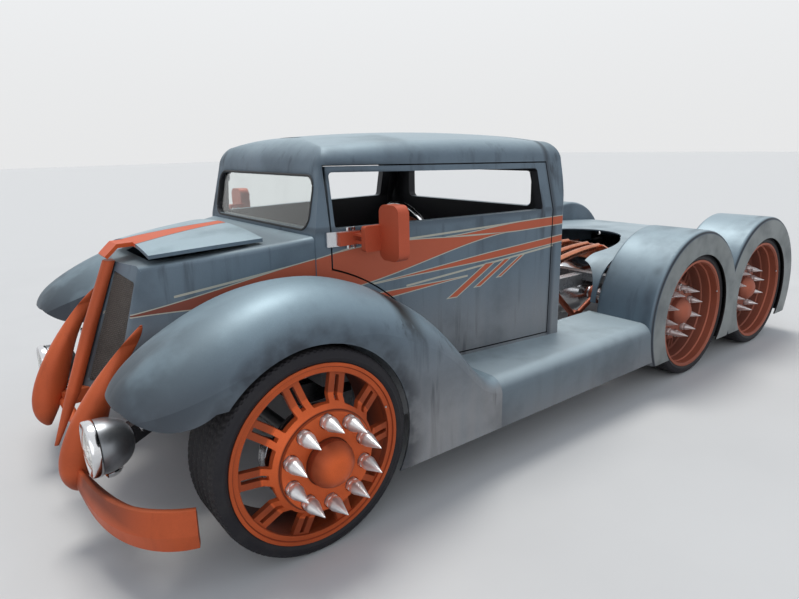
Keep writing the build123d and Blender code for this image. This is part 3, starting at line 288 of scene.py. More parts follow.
slash, slash_in, slash_out = new_group("slash", [
    ("Along", "value", 0.0), ("Height", "value", 0.0), ("Start", "value", 1.0), ("Lean", "value", 0.4),
    ("Low", "value", 0.8), ("High", "value", 0.95), ("Half width", "value", 0.01),
], [("Distance", "value")])
climbed = slash.take(slash_in["Height"], slash_in["Low"])
leaned = slash.take(slash_in["Along"], slash.times(slash_in["Lean"], climbed))
across = slash.take(slash.size(slash.take(leaned, slash_in["Start"])), slash_in["Half width"])
beyond = slash.either(
    slash.take(slash_in["Low"], slash_in["Height"]), slash.take(slash_in["Height"], slash_in["High"]),
)
upright = slash.math("SQRT", slash.add(1.0, slash.times(slash_in["Lean"], slash_in["Lean"])))
slash.put(slash_out["Distance"], slash.either(slash.math("DIVIDE", across, upright), beyond))

pin, pin_in, pin_out = new_group(
    "pinstriped", [("Distance", "value", 1.0)], [("Fill", "value"), ("Line", "value")],
)
pin.put(pin_out["Fill"], pin.fade(pin_in["Distance"], -0.0008, 0.0008, 1.0, 0.0))
line = pin.use(band.tree, Value=pin_in["Distance"], Middle=0.0022, Reach=0.0034)["Mask"]
pin.put(pin_out["Line"], pin.fade(line, 0.15, 0.6))
print("stripe groups ready")

# %% [markdown]
# ## Fine wear
# Bare metal and plain black parts need less: a small grain, a little grime that gathers in patches,
# and scratches that lie in one direction. One group gives all three as masks, and each material
# decides what to do with them.

# %% Group: fine wear
wear, wear_in, wear_out = new_group("fine_wear", [
    ("Place", "vector", (0, 0, 0)), ("Grain scale", "value", 400.0),
    ("Along", "vector", (30.0, 400.0, 400.0)),
], [("Grain", "value"), ("Grime", "value"), ("Scratch", "value")])
wear.put(wear_out["Grain"], wear.noise(wear_in["Place"], wear_in["Grain scale"], 2.0))
wear.put(wear_out["Grime"], wear.fade(wear.noise(wear_in["Place"], 9.0, 5.0, 0.65), 0.42, 0.72))
lines = wear.stretch(wear_in["Place"], wear_in["Along"])
wear.put(wear_out["Scratch"], wear.noise(lines, 1.0, 3.0, 0.7))
print("group", wear.tree.name)

# %% [markdown]
# ## From values to a material
# Every material below starts the same way: a Principled shader, the point's place on its own object,
# and the direction that the surface faces. A height map goes through one Bump node.
# Numbers that never change sit on the shader's own sockets, where an exporter can read them.

# %% Material starter
def new_material(name, **fixed):
    """A material with a Principled shader: (board, shader, place, facing)."""
    made = bpy.data.materials.new(name)
    made.use_nodes = True
    board = Board(made.node_tree)
    shader = made.node_tree.nodes["Principled BSDF"]
    for key, value in fixed.items():
        shader.inputs[key.replace("_", " ")].default_value = value
    coordinates = board.node("TexCoord")
    return made, board, shader, coordinates.outputs["Object"], coordinates.outputs["Normal"]


def raise_height(board, shader, height, distance, base_normal=None):
    """Sends a height map through a Bump node. distance is the height of its whole range in metres."""
    bump = board.node("Bump")
    if base_normal is not None:
        board.put(bump.inputs["Normal"], base_normal)
    bump.inputs["Distance"].default_value = distance
    board.put(bump.inputs["Height"], height)
    board.put(shader.inputs["Normal"], bump.outputs[0])


def satin(name, body, sky_sheen, haze, shadow, streaks, low, high, metal, build=None, gloss=0.5, rounding=None):
    """Fogged satin paint. build(board, place, facing) may give more shadow and a repaint function,
    and rounding(board, place) a softer normal."""
    made, board, shader, place, facing = new_material(name, Metallic=metal, Specular_IOR_Level=gloss)
    extra, repaint = build(board, place, facing) if build else (0.0, None)
    finish = board.use(
        fog.tree, Place=place, Facing=facing, Body=(*body, 1), Top=(*sky_sheen, 1), Haze=(*haze, 1),
        Shadow=(*shadow, 1), Streaks=streaks, Low=low, High=high, Extra=extra,
    )
    color = finish["Color"] if repaint is None else repaint(finish["Color"])
    board.put(shader.inputs["Base Color"], color)
    board.put(shader.inputs["Roughness"], finish["Roughness"])
    soft = rounding(board, place) if rounding else None
    raise_height(board, shader, finish["Grain"], 0.00012, base_normal=soft)
    print("material", name, "nodes", len(made.node_tree.nodes))
    return made


def dress(material, *names):
    """Gives CAD nodes a material. The solids themselves stay as they are."""
    for name in names:
        nodes[name].data.materials.clear()
        nodes[name].data.materials.append(material)


# The paler top colours are a painted sky sheen on faces that look up.
blue_body, blue_sky_sheen = (0.112, 0.154, 0.192), (0.290, 0.372, 0.416)
blue_haze, blue_shadow = (0.185, 0.188, 0.196), (0.020, 0.023, 0.031)
copper_body, copper_sky_sheen = (0.610, 0.112, 0.030), (0.640, 0.140, 0.050)
copper_haze, copper_shadow = (0.230, 0.052, 0.026), (0.075, 0.022, 0.015)
pin_color = (0.42, 0.41, 0.34, 1)

# %% [markdown]
# ## Blue panels: cab, doors and hood sides
# These three share the stripe scheme, which runs from the nose to the back of the cab without a break.
# Stripes lie only on faces that look outward, so the inner skins stay dark. Inside the cab the paint gives
# way to a flat near-black, found by asking which faces look toward the middle of the cab. The shut lines
# get a thin line of painted shadow where the gap swallows the light, and the cowl below the windscreen gets
# painted shade. The front of the door is darker low down by the fender. The front corners of the roof meet
# in an edge that hand-beaten steel wouldn't have, so a Bevel node rounds the light that falls on them.

# %% Striped blue paint
front_axle = -1.596
spear_sizes = ("Tip", "Shoulder", "End", "Tip_height", "Rise", "Bow", "Half_width", "End_share")
spears = [
    (-0.46, 0.40, 1.22, 0.735, 0.205, -0.042, 0.078, 0.0),
    (0.86, 1.30, 1.66, 0.966, 0.030, 0.0, 0.019, 1.0),
    (0.50, 1.20, 1.66, 0.806, 0.085, 0.0, 0.015, 1.0),
    (0.16, 0.46, 0.98, 0.722, 0.070, 0.0, 0.014, 0.0),
    (-0.22, 0.10, 0.42, 0.822, 0.240, -0.020, 0.0, 0.0),
    (0.58, 0.90, 1.40, 0.975, 0.034, 0.0, 0.0, 0.0),
    (0.66, 1.00, 1.50, 0.776, 0.105, 0.0, 0.0, 0.0),
]
slash_sizes = ("Start", "Lean", "Low", "High", "Half_width")
slashes = [
    (0.900, 1.55, 0.690, 0.822, 0.022),
    (1.040, 1.55, 0.722, 0.830, 0.013),
    (1.165, 1.55, 0.752, 0.838, 0.008),
]


def side_distance(board, place):
    """Distance to the nearest stripe edge on the car's side."""
    x, _, z = board.xyz(place)
    along = board.take(x, front_axle)
    joined = None
    for tree, sizes, rows in ((spear.tree, spear_sizes, spears), (slash.tree, slash_sizes, slashes)):
        for row in rows:
            found = board.use(tree, Along=along, Height=z, **dict(zip(sizes, row)))["Distance"]
            joined = found if joined is None else board.both(joined, found)
    return joined


def outward(board, place, facing):
    """1 where a side face looks away from the middle of the car."""
    y = board.xyz(place)[1]
    return board.fade(board.times(board.math("SIGN", y), board.xyz(facing)[1]), 0.25, 0.45)


def cab_paint(board, place, facing):
    x, _, z = board.xyz(place)
    along = board.take(x, front_axle)
    outside = outward(board, place, facing)
    marks = board.use(pin.tree, Distance=side_distance(board, place))
    fill = board.times(marks["Fill"], outside)
    line = board.times(marks["Line"], outside)
    away = board.node("VectorMath", operation="SUBTRACT")
    board.put(away.inputs[0], place)
    away.inputs[1].default_value = (front_axle + 0.95, 0.0, 0.95)
    faces_in = board.node("VectorMath", operation="DOT_PRODUCT")
    board.put(faces_in.inputs[0], away.outputs[0])
    board.put(faces_in.inputs[1], facing)
    room = board.fade(faces_in.outputs["Value"], -0.06, -0.02, 1.0, 0.0)
    room = board.both(room, board.fade(along, 0.12, 0.14))
    # Painted shadow along the shut lines, the rear post and the window sill.
    sill = board.both(board.fade(z, 1.010, 1.046), board.fade(z, 1.05, 1.06, 1.0, 0.0))
    post = board.use(band.tree, Value=along, Middle=1.500, Reach=0.030)["Mask"]
    seam_x = board.use(band.tree, Value=along, Middle=0.104, Reach=0.006)["Mask"]
    above_fender = board.fade(z, 0.62, 0.74, 1.0, 0.0)
    edges = board.either(board.either(post, board.times(seam_x, 0.4)), board.times(sill, 0.6))
    low_door = board.times(above_fender, board.fade(along, 0.0, 0.5, 0.55, 0.0))
    edges = board.either(board.times(edges, 0.7), low_door)
    # Painted shade on the cowl below the windscreen, which takes back the painted sky sheen there.
    cowl = board.times(board.fade(board.xyz(facing)[2], 0.5, 0.9), board.fade(along, 0.16, 0.30, 0.5, 0.0))
    edges = board.either(edges, board.times(cowl, board.fade(z, 1.12, 1.20, 1.0, 0.0)))
    warm = board.mix(board.fade(along, -0.4, 0.35), (0.16, 0.040, 0.026, 1), (0.42, 0.088, 0.040, 1))

    def repaint(color):
        color = board.mix(fill, color, warm)
        color = board.mix(line, color, pin_color)
        return board.mix(room, color, (0.016, 0.017, 0.021, 1))

    return edges, repaint


def roof_rounding(board, place):
    """Softens the normal round the front corners of the roof, and nowhere else."""
    x, _, z = board.xyz(place)
    front_share = board.fade(board.take(x, front_axle), 0.55, 0.80, 1.0, 0.0)
    share = board.times(board.fade(z, 1.20, 1.235), front_share)
    rounded = board.node("Bevel", samples=8)
    rounded.inputs["Radius"].default_value = 0.05
    blend = board.node("Mix", data_type="VECTOR")
    board.put(blend.inputs[0], share)
    board.put(blend.inputs[4], board.node("NewGeometry").outputs["Normal"])
    board.put(blend.inputs[5], rounded.outputs[0])
    return blend.outputs[1]


striped_blue = satin(
    "striped_blue_satin", blue_body, blue_sky_sheen, (0.225, 0.230, 0.238), blue_shadow,
    streaks=0.85, low=0.42, high=0.84, metal=0.30, build=cab_paint, rounding=roof_rounding,
)
dress(striped_blue, "cab_shell", "door_left", "door_right", "hood_sides")

# %% [markdown]
# ## Blue panels: fenders, boards, drums and deck
# The front fenders are darkest at the fogged lip of the arch. Toward the nose and on faces that look down they
# get painted shade, and their crowns a painted sky sheen.
# The rear drums have a plain grey ring round the wheel, with a dark line where the ring meets the drum:
# both are bands of one radius about the axle. Painted shade lies in a band at the drum's crease and on faces
# that look down.
# The inner skins of fenders and drums are turned near-black.

# %% Fender, board, drum and deck paint
drum_r = 0.490
drum_face = 0.9455


def inner_skin_black(board, place, facing):
    """A repaint that turns the inner skin, which faces its own axle, to near-black."""
    x, _, z = board.xyz(place)
    axle = board.node("VectorMath", operation="SUBTRACT")
    nearest_x = board.mix(board.fade(x, 1.363, 1.364), (axle_xs[1],) * 3 + (1,), (axle_xs[2],) * 3 + (1,))
    nearest_x = board.mix(board.fade(x, -0.001, 0.001), (axle_xs[0],) * 3 + (1,), nearest_x)
    board.put(axle.inputs[0], board.point(x, 0.0, z))
    board.put(axle.inputs[1], board.point(board.xyz(nearest_x)[0], 0.0, hub_height))
    inward = board.node("VectorMath", operation="DOT_PRODUCT")
    board.put(inward.inputs[0], axle.outputs[0])
    board.put(inward.inputs[1], facing)
    share = board.fade(inward.outputs["Value"], -0.12, -0.05, 1.0, 0.0)
    share = board.times(share, board.either(board.fade(x, -1.20, -1.10, 1.0, 0.0), board.fade(x, -0.10, 0.0)))
    return lambda color: board.mix(share, color, (0.010, 0.010, 0.011, 1))


def fender_paint(board, place, facing):
    radius = board.use(ring.tree, Place=place)["Radius"]
    lip = board.fade(radius, 0.385, 0.500, 1.0, 0.0)
    lip = board.times(lip, board.fade(board.noise(place, 11.0, 3.0), 0.3, 0.62, 0.45, 1.0))
    # Painted shade on faces that look down, and toward the nose, which faces away from the sun.
    under = board.fade(board.xyz(facing)[2], -0.9, -0.25, 1.0, 0.0)
    nose = board.fade(board.take(board.xyz(place)[0], front_axle), -0.60, 0.02, 0.84, 0.0)
    nose = board.times(nose, board.fade(board.noise(place, 6.0, 3.0), 0.30, 0.60, 0.55, 1.0))
    shade = board.either(board.either(board.times(lip, 0.85), board.times(under, 0.75)), nose)
    return shade, inner_skin_black(board, place, facing)


def drum_paint(board, place, facing):
    radius = board.use(ring.tree, Place=place)["Radius"]
    y = board.size(board.xyz(place)[1])
    ring_face = board.fade(radius, drum_r - 0.024, drum_r - 0.018, 1.0, 0.0)
    face = board.both(board.fade(y, drum_face, drum_face + 0.004), ring_face)
    edge = board.use(band.tree, Value=radius, Middle=drum_r - 0.012, Reach=0.012)["Mask"]
    edge = board.times(edge, board.fade(y, 0.925, 0.945))
    # Painted shade in the crease and, below, on faces that look down.
    crease = board.use(band.tree, Value=y, Middle=0.900, Reach=0.050)["Mask"]
    crease = board.times(crease, board.fade(board.noise(place, 4.0, 3.0), 0.42, 0.66))
    inside = board.fade(board.xyz(facing)[2], -0.98, -0.5, 0.8, 0.0)

    def repaint(color):
        mottled = board.fade(board.noise(place, 7.0, 4.0), 0.35, 0.75)
        grey = board.mix(mottled, (0.235, 0.250, 0.240, 1), (0.115, 0.125, 0.125, 1))
        return inner_black(board.mix(board.times(face, 0.85), color, grey))

    inner_black = inner_skin_black(board, place, facing)
    return board.either(board.either(edge, board.times(crease, 0.5)), inside), repaint


fender_blue = satin(
    "fender_blue_satin", blue_body, (0.245, 0.335, 0.385), (0.265, 0.265, 0.270), blue_shadow,
    streaks=0.90, low=0.26, high=0.78, metal=0.35, build=fender_paint,
)
drum_blue = satin(
    "drum_blue_satin", blue_body, blue_sky_sheen, blue_haze, blue_shadow,
    streaks=0.35, low=0.10, high=0.36, metal=0.35, build=drum_paint,
)
# The boards take a still paler top colour: painted sun and sky sheen on their tops.
board_blue = satin(
    "board_blue_satin", (0.125, 0.162, 0.190), (0.390, 0.470, 0.505), blue_haze, blue_shadow,
    streaks=0.30, low=0.12, high=0.36, metal=0.30,
)
# The deck's paler top colour is also a painted sky sheen.
deck_blue = satin(
    "deck_blue_satin", blue_body, (0.34, 0.42, 0.46), blue_haze, blue_shadow,
    streaks=0.30, low=0.20, high=0.50, metal=0.30,
)
dress(fender_blue, "front_fenders")
dress(drum_blue, "rear_tubs")
dress(board_blue, "running_boards")
dress(deck_blue, "rear_deck")

# %% [markdown]
# ## Hood lid
# The floating lid is blue, paled on top by the painted sky sheen, with one broad copper stripe down its middle,
# which runs on into the beak.
# A thin dark line borders the stripe. Its underside is dark, because it only sees the engine.

# %% Lid paint
def lid_paint(board, place, facing):
    x, y, _ = board.xyz(place)
    half = board.fade(board.take(x, front_axle), -0.36, 0.10, 0.098, 0.044)
    off = board.take(board.size(y), half)
    beak = board.fade(board.take(x, front_axle), -0.300, -0.290, 1.0, 0.0)
    fill = board.either(board.fade(off, -0.001, 0.001, 1.0, 0.0), beak)
    line = board.use(band.tree, Value=off, Middle=0.004, Reach=0.006)["Mask"]
    border = board.times(line, board.take(1.0, beak))
    below = board.fade(board.xyz(facing)[2], -0.4, 0.0, 1.0, 0.0)
    below = board.times(below, board.take(1.0, beak))

    def repaint(color):
        color = board.mix(fill, color, (0.60, 0.100, 0.028, 1))
        color = board.mix(border, color, (0.020, 0.018, 0.022, 1))
        return board.mix(below, color, (0.012, 0.013, 0.016, 1))

    return 0.0, repaint


lid_blue = satin(
    "lid_blue_satin", blue_body, (0.33, 0.42, 0.46), blue_haze, blue_shadow,
    streaks=0.2, low=0.85, high=0.99, metal=0.30, build=lid_paint, gloss=0.25,
)
dress(lid_blue, "hood_lid")

# %% [markdown]
# ## Copper paint: bumper, wheels, mirrors and tubes
# The copper pieces wear the same fogged satin in other colours. On the bumper the fog lies at the feet and
# the tips of the tusks, and a painted dark reflection lies on the upper half of each wing and fades out toward
# the wing's end. On the wheels painted shade fills the grooves round the raised disc and the cap, so the turned
# steps read from a few metres away, and painted reflection and shade dull the outer half of the bars, the lip
# and the inboard barrel. The rear wheels, deep in their drums, are given a browner copper as painted shade.

# %% Copper paints
def bumper_paint(board, place, facing):
    _, y, z = board.xyz(place)
    out = board.size(y)
    tops = board.fade(z, 0.55, 0.75, 0.0, 0.30)
    low = board.both(board.fade(out, 0.34, 0.62, 0.80, 0.0), board.fade(z, 0.20, 0.30, 0.80, 0.0))
    # Painted dark reflection of the tyre on the upper half of each wing.
    upper = board.both(board.fade(out, 0.40, 0.46, 0.0, 0.72), board.fade(out, 0.62, 0.86, 0.72, 0.0))
    upper = board.both(upper, board.fade(z, 0.215, 0.275, 0.0, 0.72))
    soft = board.fade(board.noise(place, 5.0, 3.0), 0.3, 0.7, 0.55, 1.0)
    return board.times(board.either(upper, board.either(tops, low)), soft), None


def wheel_paint(board, place, facing):
    radius = board.use(ring.tree, Place=place)["Radius"]
    # Painted shade in the grooves round the raised disc and round the cap.
    marks = None
    grooves = ((0.173, 0.006, 0.9), (0.0815, 0.005, 0.9), (0.3035, 0.004, 0.7), (0.286, 0.004, 0.5))
    for middle, reach, weight in grooves:
        mark = board.times(board.use(band.tree, Value=radius, Middle=middle, Reach=reach)["Mask"], weight)
        marks = mark if marks is None else board.either(marks, mark)
    cap = board.times(board.fade(radius, 0.030, 0.080), board.fade(radius, 0.0815, 0.083, 1.0, 0.0))
    # Painted reflection dulls the outer half of the bars, and painted shade darkens the lip.
    outer = board.times(board.fade(radius, 0.215, 0.222), board.fade(radius, 0.285, 0.290, 0.60, 0.0))
    lip = board.fade(radius, 0.286, 0.290, 0.0, 0.34)
    mottled = board.fade(board.noise(place, 7.0, 2.0), 0.30, 0.62, 0.45, 1.0)
    dusk = board.times(board.either(outer, lip), mottled)
    # Painted shade on the inboard barrel, and a browner copper on the rear wheels as painted shade.
    inboard = board.fade(board.size(board.xyz(place)[1]), 0.78, 0.96, 0.92, 0.0)
    behind = board.fade(board.xyz(place)[0], 0.2, 0.3, 0.0, 0.62)

    def repaint(color):
        return board.mix(behind, color, (0.300, 0.120, 0.088, 1))

    return board.either(board.either(marks, board.times(cap, 0.60)), board.either(dusk, inboard)), repaint


bumper_copper = satin(
    "bumper_copper", (0.50, 0.094, 0.030), copper_sky_sheen, copper_haze, copper_shadow,
    streaks=0.30, low=0.05, high=0.20, metal=0.25, build=bumper_paint, gloss=0.25,
)
wheel_copper = satin(
    "wheel_copper", copper_body, copper_body, copper_haze, copper_shadow,
    streaks=0.0, low=-0.6, high=-0.5, metal=0.45, build=wheel_paint, gloss=0.25,
)
mirror_copper = satin(
    "mirror_copper", (0.46, 0.084, 0.038), (0.52, 0.110, 0.055), copper_haze, copper_shadow,
    streaks=0.25, low=0.86, high=0.98, metal=0.25, gloss=0.3,
)
tube_copper = satin(
    "tube_copper", (0.44, 0.110, 0.055), (0.58, 0.19, 0.11), copper_haze, copper_shadow,
    streaks=0.20, low=0.20, high=0.50, metal=0.45,
)
dress(bumper_copper, "front_bumper", "grille_center_bar")
dress(wheel_copper, *[name for name in nodes if name.startswith("rim_")])
dress(mirror_copper, "mirror_left", "mirror_right")
dress(tube_copper, "rear_links")

# %% [markdown]
# ## Chrome, alloy and black parts
# Chrome is smooth metal, but never perfectly clean: a faint haze breaks the reflections of the spikes. The
# polished axle housings show fine turning lines. The knuckles, the dash and the front of the frame are
# satin black with dust in patches, and the lamp shells a grey satin with soft grime. Where the rails come
# out from under the cab they are polished, until they go under the deck, and the bent tubes above them are
# bare bright copper.

# %% Metals and blacks
def plain_finish(name, color, grime_color, rough, grime_rough, grain, grain_height,
                 along=(30.0, 400.0, 400.0), grime_share=0.5, **fixed):
    """A finish that is one colour with patches of grime, grain and directed scratches."""
    made, board, shader, place, _ = new_material(name, **fixed)
    worn = board.use(wear.tree, Place=place, Grain_scale=grain, Along=along)
    grime = board.times(worn["Grime"], grime_share)
    scratched = board.mix(board.fade(worn["Scratch"], 0.35, 0.75, 0.0, 0.16), (*color, 1), (*grime_color, 1))
    board.put(shader.inputs["Base Color"], board.mix(grime, scratched, (*grime_color, 1)))
    spread = board.add(rough, board.times(board.take(worn["Scratch"], 0.5), 0.12))
    board.put(shader.inputs["Roughness"], board.add(spread, board.times(grime, grime_rough)))
    height = board.add(board.times(worn["Grain"], 0.6), board.times(worn["Scratch"], 0.4))
    raise_height(board, shader, height, grain_height)
    print("material", name)
    return made


chrome = plain_finish(
    "chrome", (0.72, 0.72, 0.73), (0.40, 0.40, 0.42), rough=0.14, grime_rough=0.12,
    grain=260.0, grain_height=0.00004, Metallic=1.0,
)
alloy = plain_finish(
    "polished_alloy", (0.62, 0.63, 0.65), (0.22, 0.22, 0.24), rough=0.22, grime_rough=0.16,
    grain=300.0, grain_height=0.00008, along=(40.0, 900.0, 40.0), Metallic=1.0,
)
satin_black = plain_finish(
    "satin_black", (0.014, 0.014, 0.016), (0.060, 0.056, 0.052), rough=0.42, grime_rough=0.25,
    grain=350.0, grain_height=0.0001, grime_share=0.4,
)
shell_grey = plain_finish(
    "lamp_shell_grey", (0.330, 0.345, 0.365), (0.060, 0.064, 0.072), rough=0.33, grime_rough=0.12,
    grain=420.0, grain_height=0.00006, along=(6.0, 6.0, 6.0), Metallic=0.85,
)
cast_iron = plain_finish(
    "cast_block", (0.085, 0.088, 0.092), (0.030, 0.027, 0.025), rough=0.60, grime_rough=0.2,
    grain=900.0, grain_height=0.0006, along=(90.0, 90.0, 90.0),
)
carpet = plain_finish(
    "floor_carpet", (0.012, 0.012, 0.014), (0.035, 0.033, 0.031), rough=0.95, grime_rough=0.0,
    grain=1600.0, grain_height=0.0008, along=(500.0, 500.0, 20.0),
)
bag_rubber = plain_finish(
    "air_spring_rubber", (0.018, 0.018, 0.019), (0.060, 0.056, 0.050), rough=0.72, grime_rough=0.1,
    grain=700.0, grain_height=0.0002,
)
bright_copper = plain_finish(
    "bright_copper", (0.66, 0.26, 0.15), (0.24, 0.080, 0.045), rough=0.24, grime_rough=0.15,
    grain=260.0, grain_height=0.00005, Metallic=0.9,
)

# %% [markdown]
# ### Frame rails
# The rails need two finishes on one solid, so their colour is mixed by the place along the car:
# polished between the cab and the deck, and satin black before and behind it.

# %% Frame rails, and the solids that wear these finishes
rail_mat, rb, rail_shader, rail_place, _ = new_material("frame_rail_finish", Metallic=0.7)
rail_wear = rb.use(wear.tree, Place=rail_place, Along=(400.0, 30.0, 30.0))
rail_x = rb.xyz(rail_place)[0]
behind_cab = rb.both(rb.fade(rail_x, -0.04, 0.04), rb.fade(rail_x, 0.50, 0.70, 1.0, 0.0))
rail_color = rb.mix(behind_cab, (0.014, 0.014, 0.016, 1), (0.50, 0.50, 0.51, 1))
rail_grime = rb.times(rail_wear["Grime"], 0.35)
rb.put(rail_shader.inputs["Base Color"], rb.mix(rail_grime, rail_color, (0.05, 0.045, 0.04, 1)))
rb.put(rail_shader.inputs["Roughness"], rb.add(0.26, rb.times(rail_wear["Grime"], 0.2)))
raise_height(rb, rail_shader, rail_wear["Scratch"], 0.00006)
dress(bright_copper, "deck_tubes")
dress(rail_mat, "frame_rails")
dress(chrome, *[name for name in nodes if name.startswith("lugs_")], "steering_wheel", "signal_lamps")
dress(alloy, "rear_axles")
dress(satin_black, "front_axle_beam", "knuckle_left", "knuckle_right", "dashboard",
      "steering_column", "nose_panels", "grille_mesh")
dress(carpet, "cab_floor")
dress(cast_iron, "engine_block")
dress(bag_rubber, "air_springs")
print("metals and blacks dressed")

# %% [markdown]
# ## Glass and lenses
# The windscreen is thin clear glass with a faint green-grey tint. Glass needs a plain Transmission Weight.
# The lamp glass is clear too, and its flutes are cut into its mesh further down. The signal and tail
# lenses are tinted plastic with a weak painted glow, which stands for a bright base and the light that falls
# in.

# %% Glass, lenses
def clear_glass(name, tint, rough):
    made, board, shader, place, _ = new_material(name, Transmission_Weight=1.0, Roughness=rough, IOR=1.45)
    haze = board.fade(board.noise(place, 6.0, 3.0), 0.4, 0.8)
    board.put(shader.inputs["Base Color"], board.mix(haze, (*tint, 1), (*(v * 0.94 for v in tint), 1)))
    raise_height(board, shader, board.noise(place, 90.0, 1.0), 0.00003)
    return made


def lens_plastic(name, color, deep, glow):
    made, board, shader, place, _ = new_material(name, Roughness=0.12, Emission_Strength=glow)
    shader.inputs["Coat Weight"].default_value = 0.6
    _, y, z = board.xyz(place)
    cells = board.node("TexVoronoi", feature="F1")
    board.put(cells.inputs["Vector"], board.point(0.0, y, z))
    cells.inputs["Scale"].default_value = 190.0
    share = board.fade(cells.outputs["Distance"], 0.1, 0.7)
    shown = board.mix(share, (*color, 1), (*deep, 1))
    board.put(shader.inputs["Base Color"], shown)
    # Painted glow: on the signal and tail lenses it stands for light that falls in.
    board.put(shader.inputs["Emission Color"], shown)
    raise_height(board, shader, share, 0.0006)
    return made


screen_glass = clear_glass("screen_glass", (0.86, 0.90, 0.88), 0.01)
lamp_glass = clear_glass("lamp_glass", (0.97, 0.97, 0.96), 0.02)
amber_lens = lens_plastic("amber_lens", (0.80, 0.22, 0.03), (0.42, 0.08, 0.01), 0.10)
red_lens = lens_plastic("red_lens", (0.55, 0.02, 0.015), (0.20, 0.006, 0.006), 0.12)
dress(screen_glass, "windscreen")
dress(red_lens, "tail_lamps")
print("glass and lenses ready")

# %% [markdown]
# ## Mesh helpers
# New pieces are built from three kinds of form. A lathe turns an outline round an axle, as tyres, lamps and
# discs are. A tube follows a line of points, as wires and seams do. A prism stands up an outline, as nuts and
# plates do. Each returns plain lists, so that several forms can be joined in one piece.

# %% Mesh helpers
def lathe(outline, steps, axis, centre, closed=True, radius_at=None):
    """Turns (along, radius) points round an axis. radius_at(i, k, radius) may change single points."""
    verts, faces = [], []
    count = len(outline)
    for k in range(steps):
        angle = 2 * math.pi * k / steps
        for i, (along, radius) in enumerate(outline):
            r = radius_at(i, k, radius) if radius_at else radius
            a, b = r * math.cos(angle), r * math.sin(angle)
            local = (along, a, b) if axis == "X" else (a, along, b) if axis == "Y" else (a, b, along)
            verts.append(tuple(c + d for c, d in zip(centre, local)))
    for k in range(steps):
        here, there = k * count, (k + 1) % steps * count
        for i in range(count if closed else count - 1):
            j = (i + 1) % count
            faces.append((here + i, here + j, there + j, there + i))
    return verts, faces


def tube(points, radius, sides=6, ends=True):
    """A round tube along a line of points."""
    verts, faces = [], []
    points = [Vector(p) for p in points]
    for i, p in enumerate(points):
        run = points[min(i + 1, len(points) - 1)] - points[max(i - 1, 0)]
        run = run.normalized() if run.length > 1e-9 else Vector((1, 0, 0))
        guide = Vector((0, 0, 1)) if abs(run.z) < 0.9 else Vector((0, 1, 0))
        u = run.cross(guide).normalized()
        v = run.cross(u)
        for s in range(sides):
            angle = 2 * math.pi * s / sides
            verts.append(tuple(p + radius * (math.cos(angle) * u + math.sin(angle) * v)))
    for i in range(len(points) - 1):
        for s in range(sides):
            t = (s + 1) % sides
            faces.append((i * sides + s, i * sides + t, (i + 1) * sides + t, (i + 1) * sides + s))
    if ends:
        faces.append(tuple(range(sides))[::-1])
        faces.append(tuple((len(points) - 1) * sides + s for s in range(sides)))
    return verts, faces


def prism(corners, low, high, place_of):
    """A closed prism: (a, b) corners between two heights, set in space by place_of(a, b, height)."""
    verts = [tuple(place_of(a, b, h)) for h in (low, high) for a, b in corners]
    n = len(corners)
    faces = [tuple(range(n))[::-1], tuple(range(n, 2 * n))]
    faces += [(i, (i + 1) % n, n + (i + 1) % n, n + i) for i in range(n)]
    return verts, faces


def piece(name, forms, material, body, replaces=(), sharp=38.0, bevel=0.0):
    """Joins forms into one mesh object that rides on a body."""
    verts, faces = [], []
    for form_verts, form_faces in forms:
        start = len(verts)
        verts += form_verts
        faces += [tuple(start + i for i in face) for face in form_faces]
    mesh = bpy.data.meshes.new(name)
    mesh.from_pydata(verts, [], faces)
    edit = bmesh.new()
    edit.from_mesh(mesh)
    bmesh.ops.remove_doubles(edit, verts=edit.verts, dist=1e-6)
    bmesh.ops.recalc_face_normals(edit, faces=edit.faces)
    if bevel:
        edges = [e for e in edit.edges if len(e.link_faces) == 2 and e.calc_face_angle(0.0) > 0.6]
        bmesh.ops.bevel(edit, geom=edges, offset=bevel, segments=2, affect="EDGES", clamp_overlap=True)
    edit.to_mesh(mesh)
    edit.free()
    mesh.polygons.foreach_set("use_smooth", [True] * len(mesh.polygons))
    mesh.set_sharp_from_angle(angle=math.radians(sharp))
    mesh.materials.append(material)
    made = bpy.data.objects.new(name, mesh)
    bpy.context.scene.collection.objects.link(made)
    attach(made, body)
    if replaces:
        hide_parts(*replaces)
    print("piece", name, "faces", len(mesh.polygons))
    return made


print("mesh helpers ready")

# %% [markdown]
# ## Treaded tyres
# The CAD tyre is a smooth ring, so its tread is left to this script. A tyre is turned from its outline,
# and the radius is lowered wherever a groove runs: four rings round the tread, and slanted cuts that reach
# the shoulders. The side walls keep low ribs. Every wheel uses the same recipe, and each tyre stands for
# its CAD ring.

# %% Tyre rubber
rubber_mat, rb, rubber_shader, rubber_place, _ = new_material("tyre_rubber", Specular_IOR_Level=0.25)
tyre_radius = rb.use(ring.tree, Place=rubber_place)["Radius"]
rubber_wear = rb.use(wear.tree, Place=rubber_place, Grain_scale=700.0, Along=(60.0, 60.0, 60.0))
dust_patches = rb.fade(rubber_wear["Scratch"], 0.35, 0.7, 0.35, 1.0)
tread_dust = rb.times(rb.fade(tyre_radius, 0.358, 0.366), dust_patches)
side_dust = rb.times(rubber_wear["Grime"], 0.22)
dust = rb.either(rb.times(tread_dust, 0.45), side_dust)
rubber_color = rb.mix(dust, (0.012, 0.011, 0.014, 1), (0.050, 0.046, 0.043, 1))
rb.put(rubber_shader.inputs["Base Color"], rubber_color)
rb.put(rubber_shader.inputs["Roughness"], rb.add(0.56, rb.times(tread_dust, 0.25)))
side_ribs = rb.math("SINE", rb.times(tyre_radius, 2600.0))
side_ribs = rb.times(side_ribs, rb.use(band.tree, Value=tyre_radius, Middle=0.3305, Reach=0.006)["Mask"])
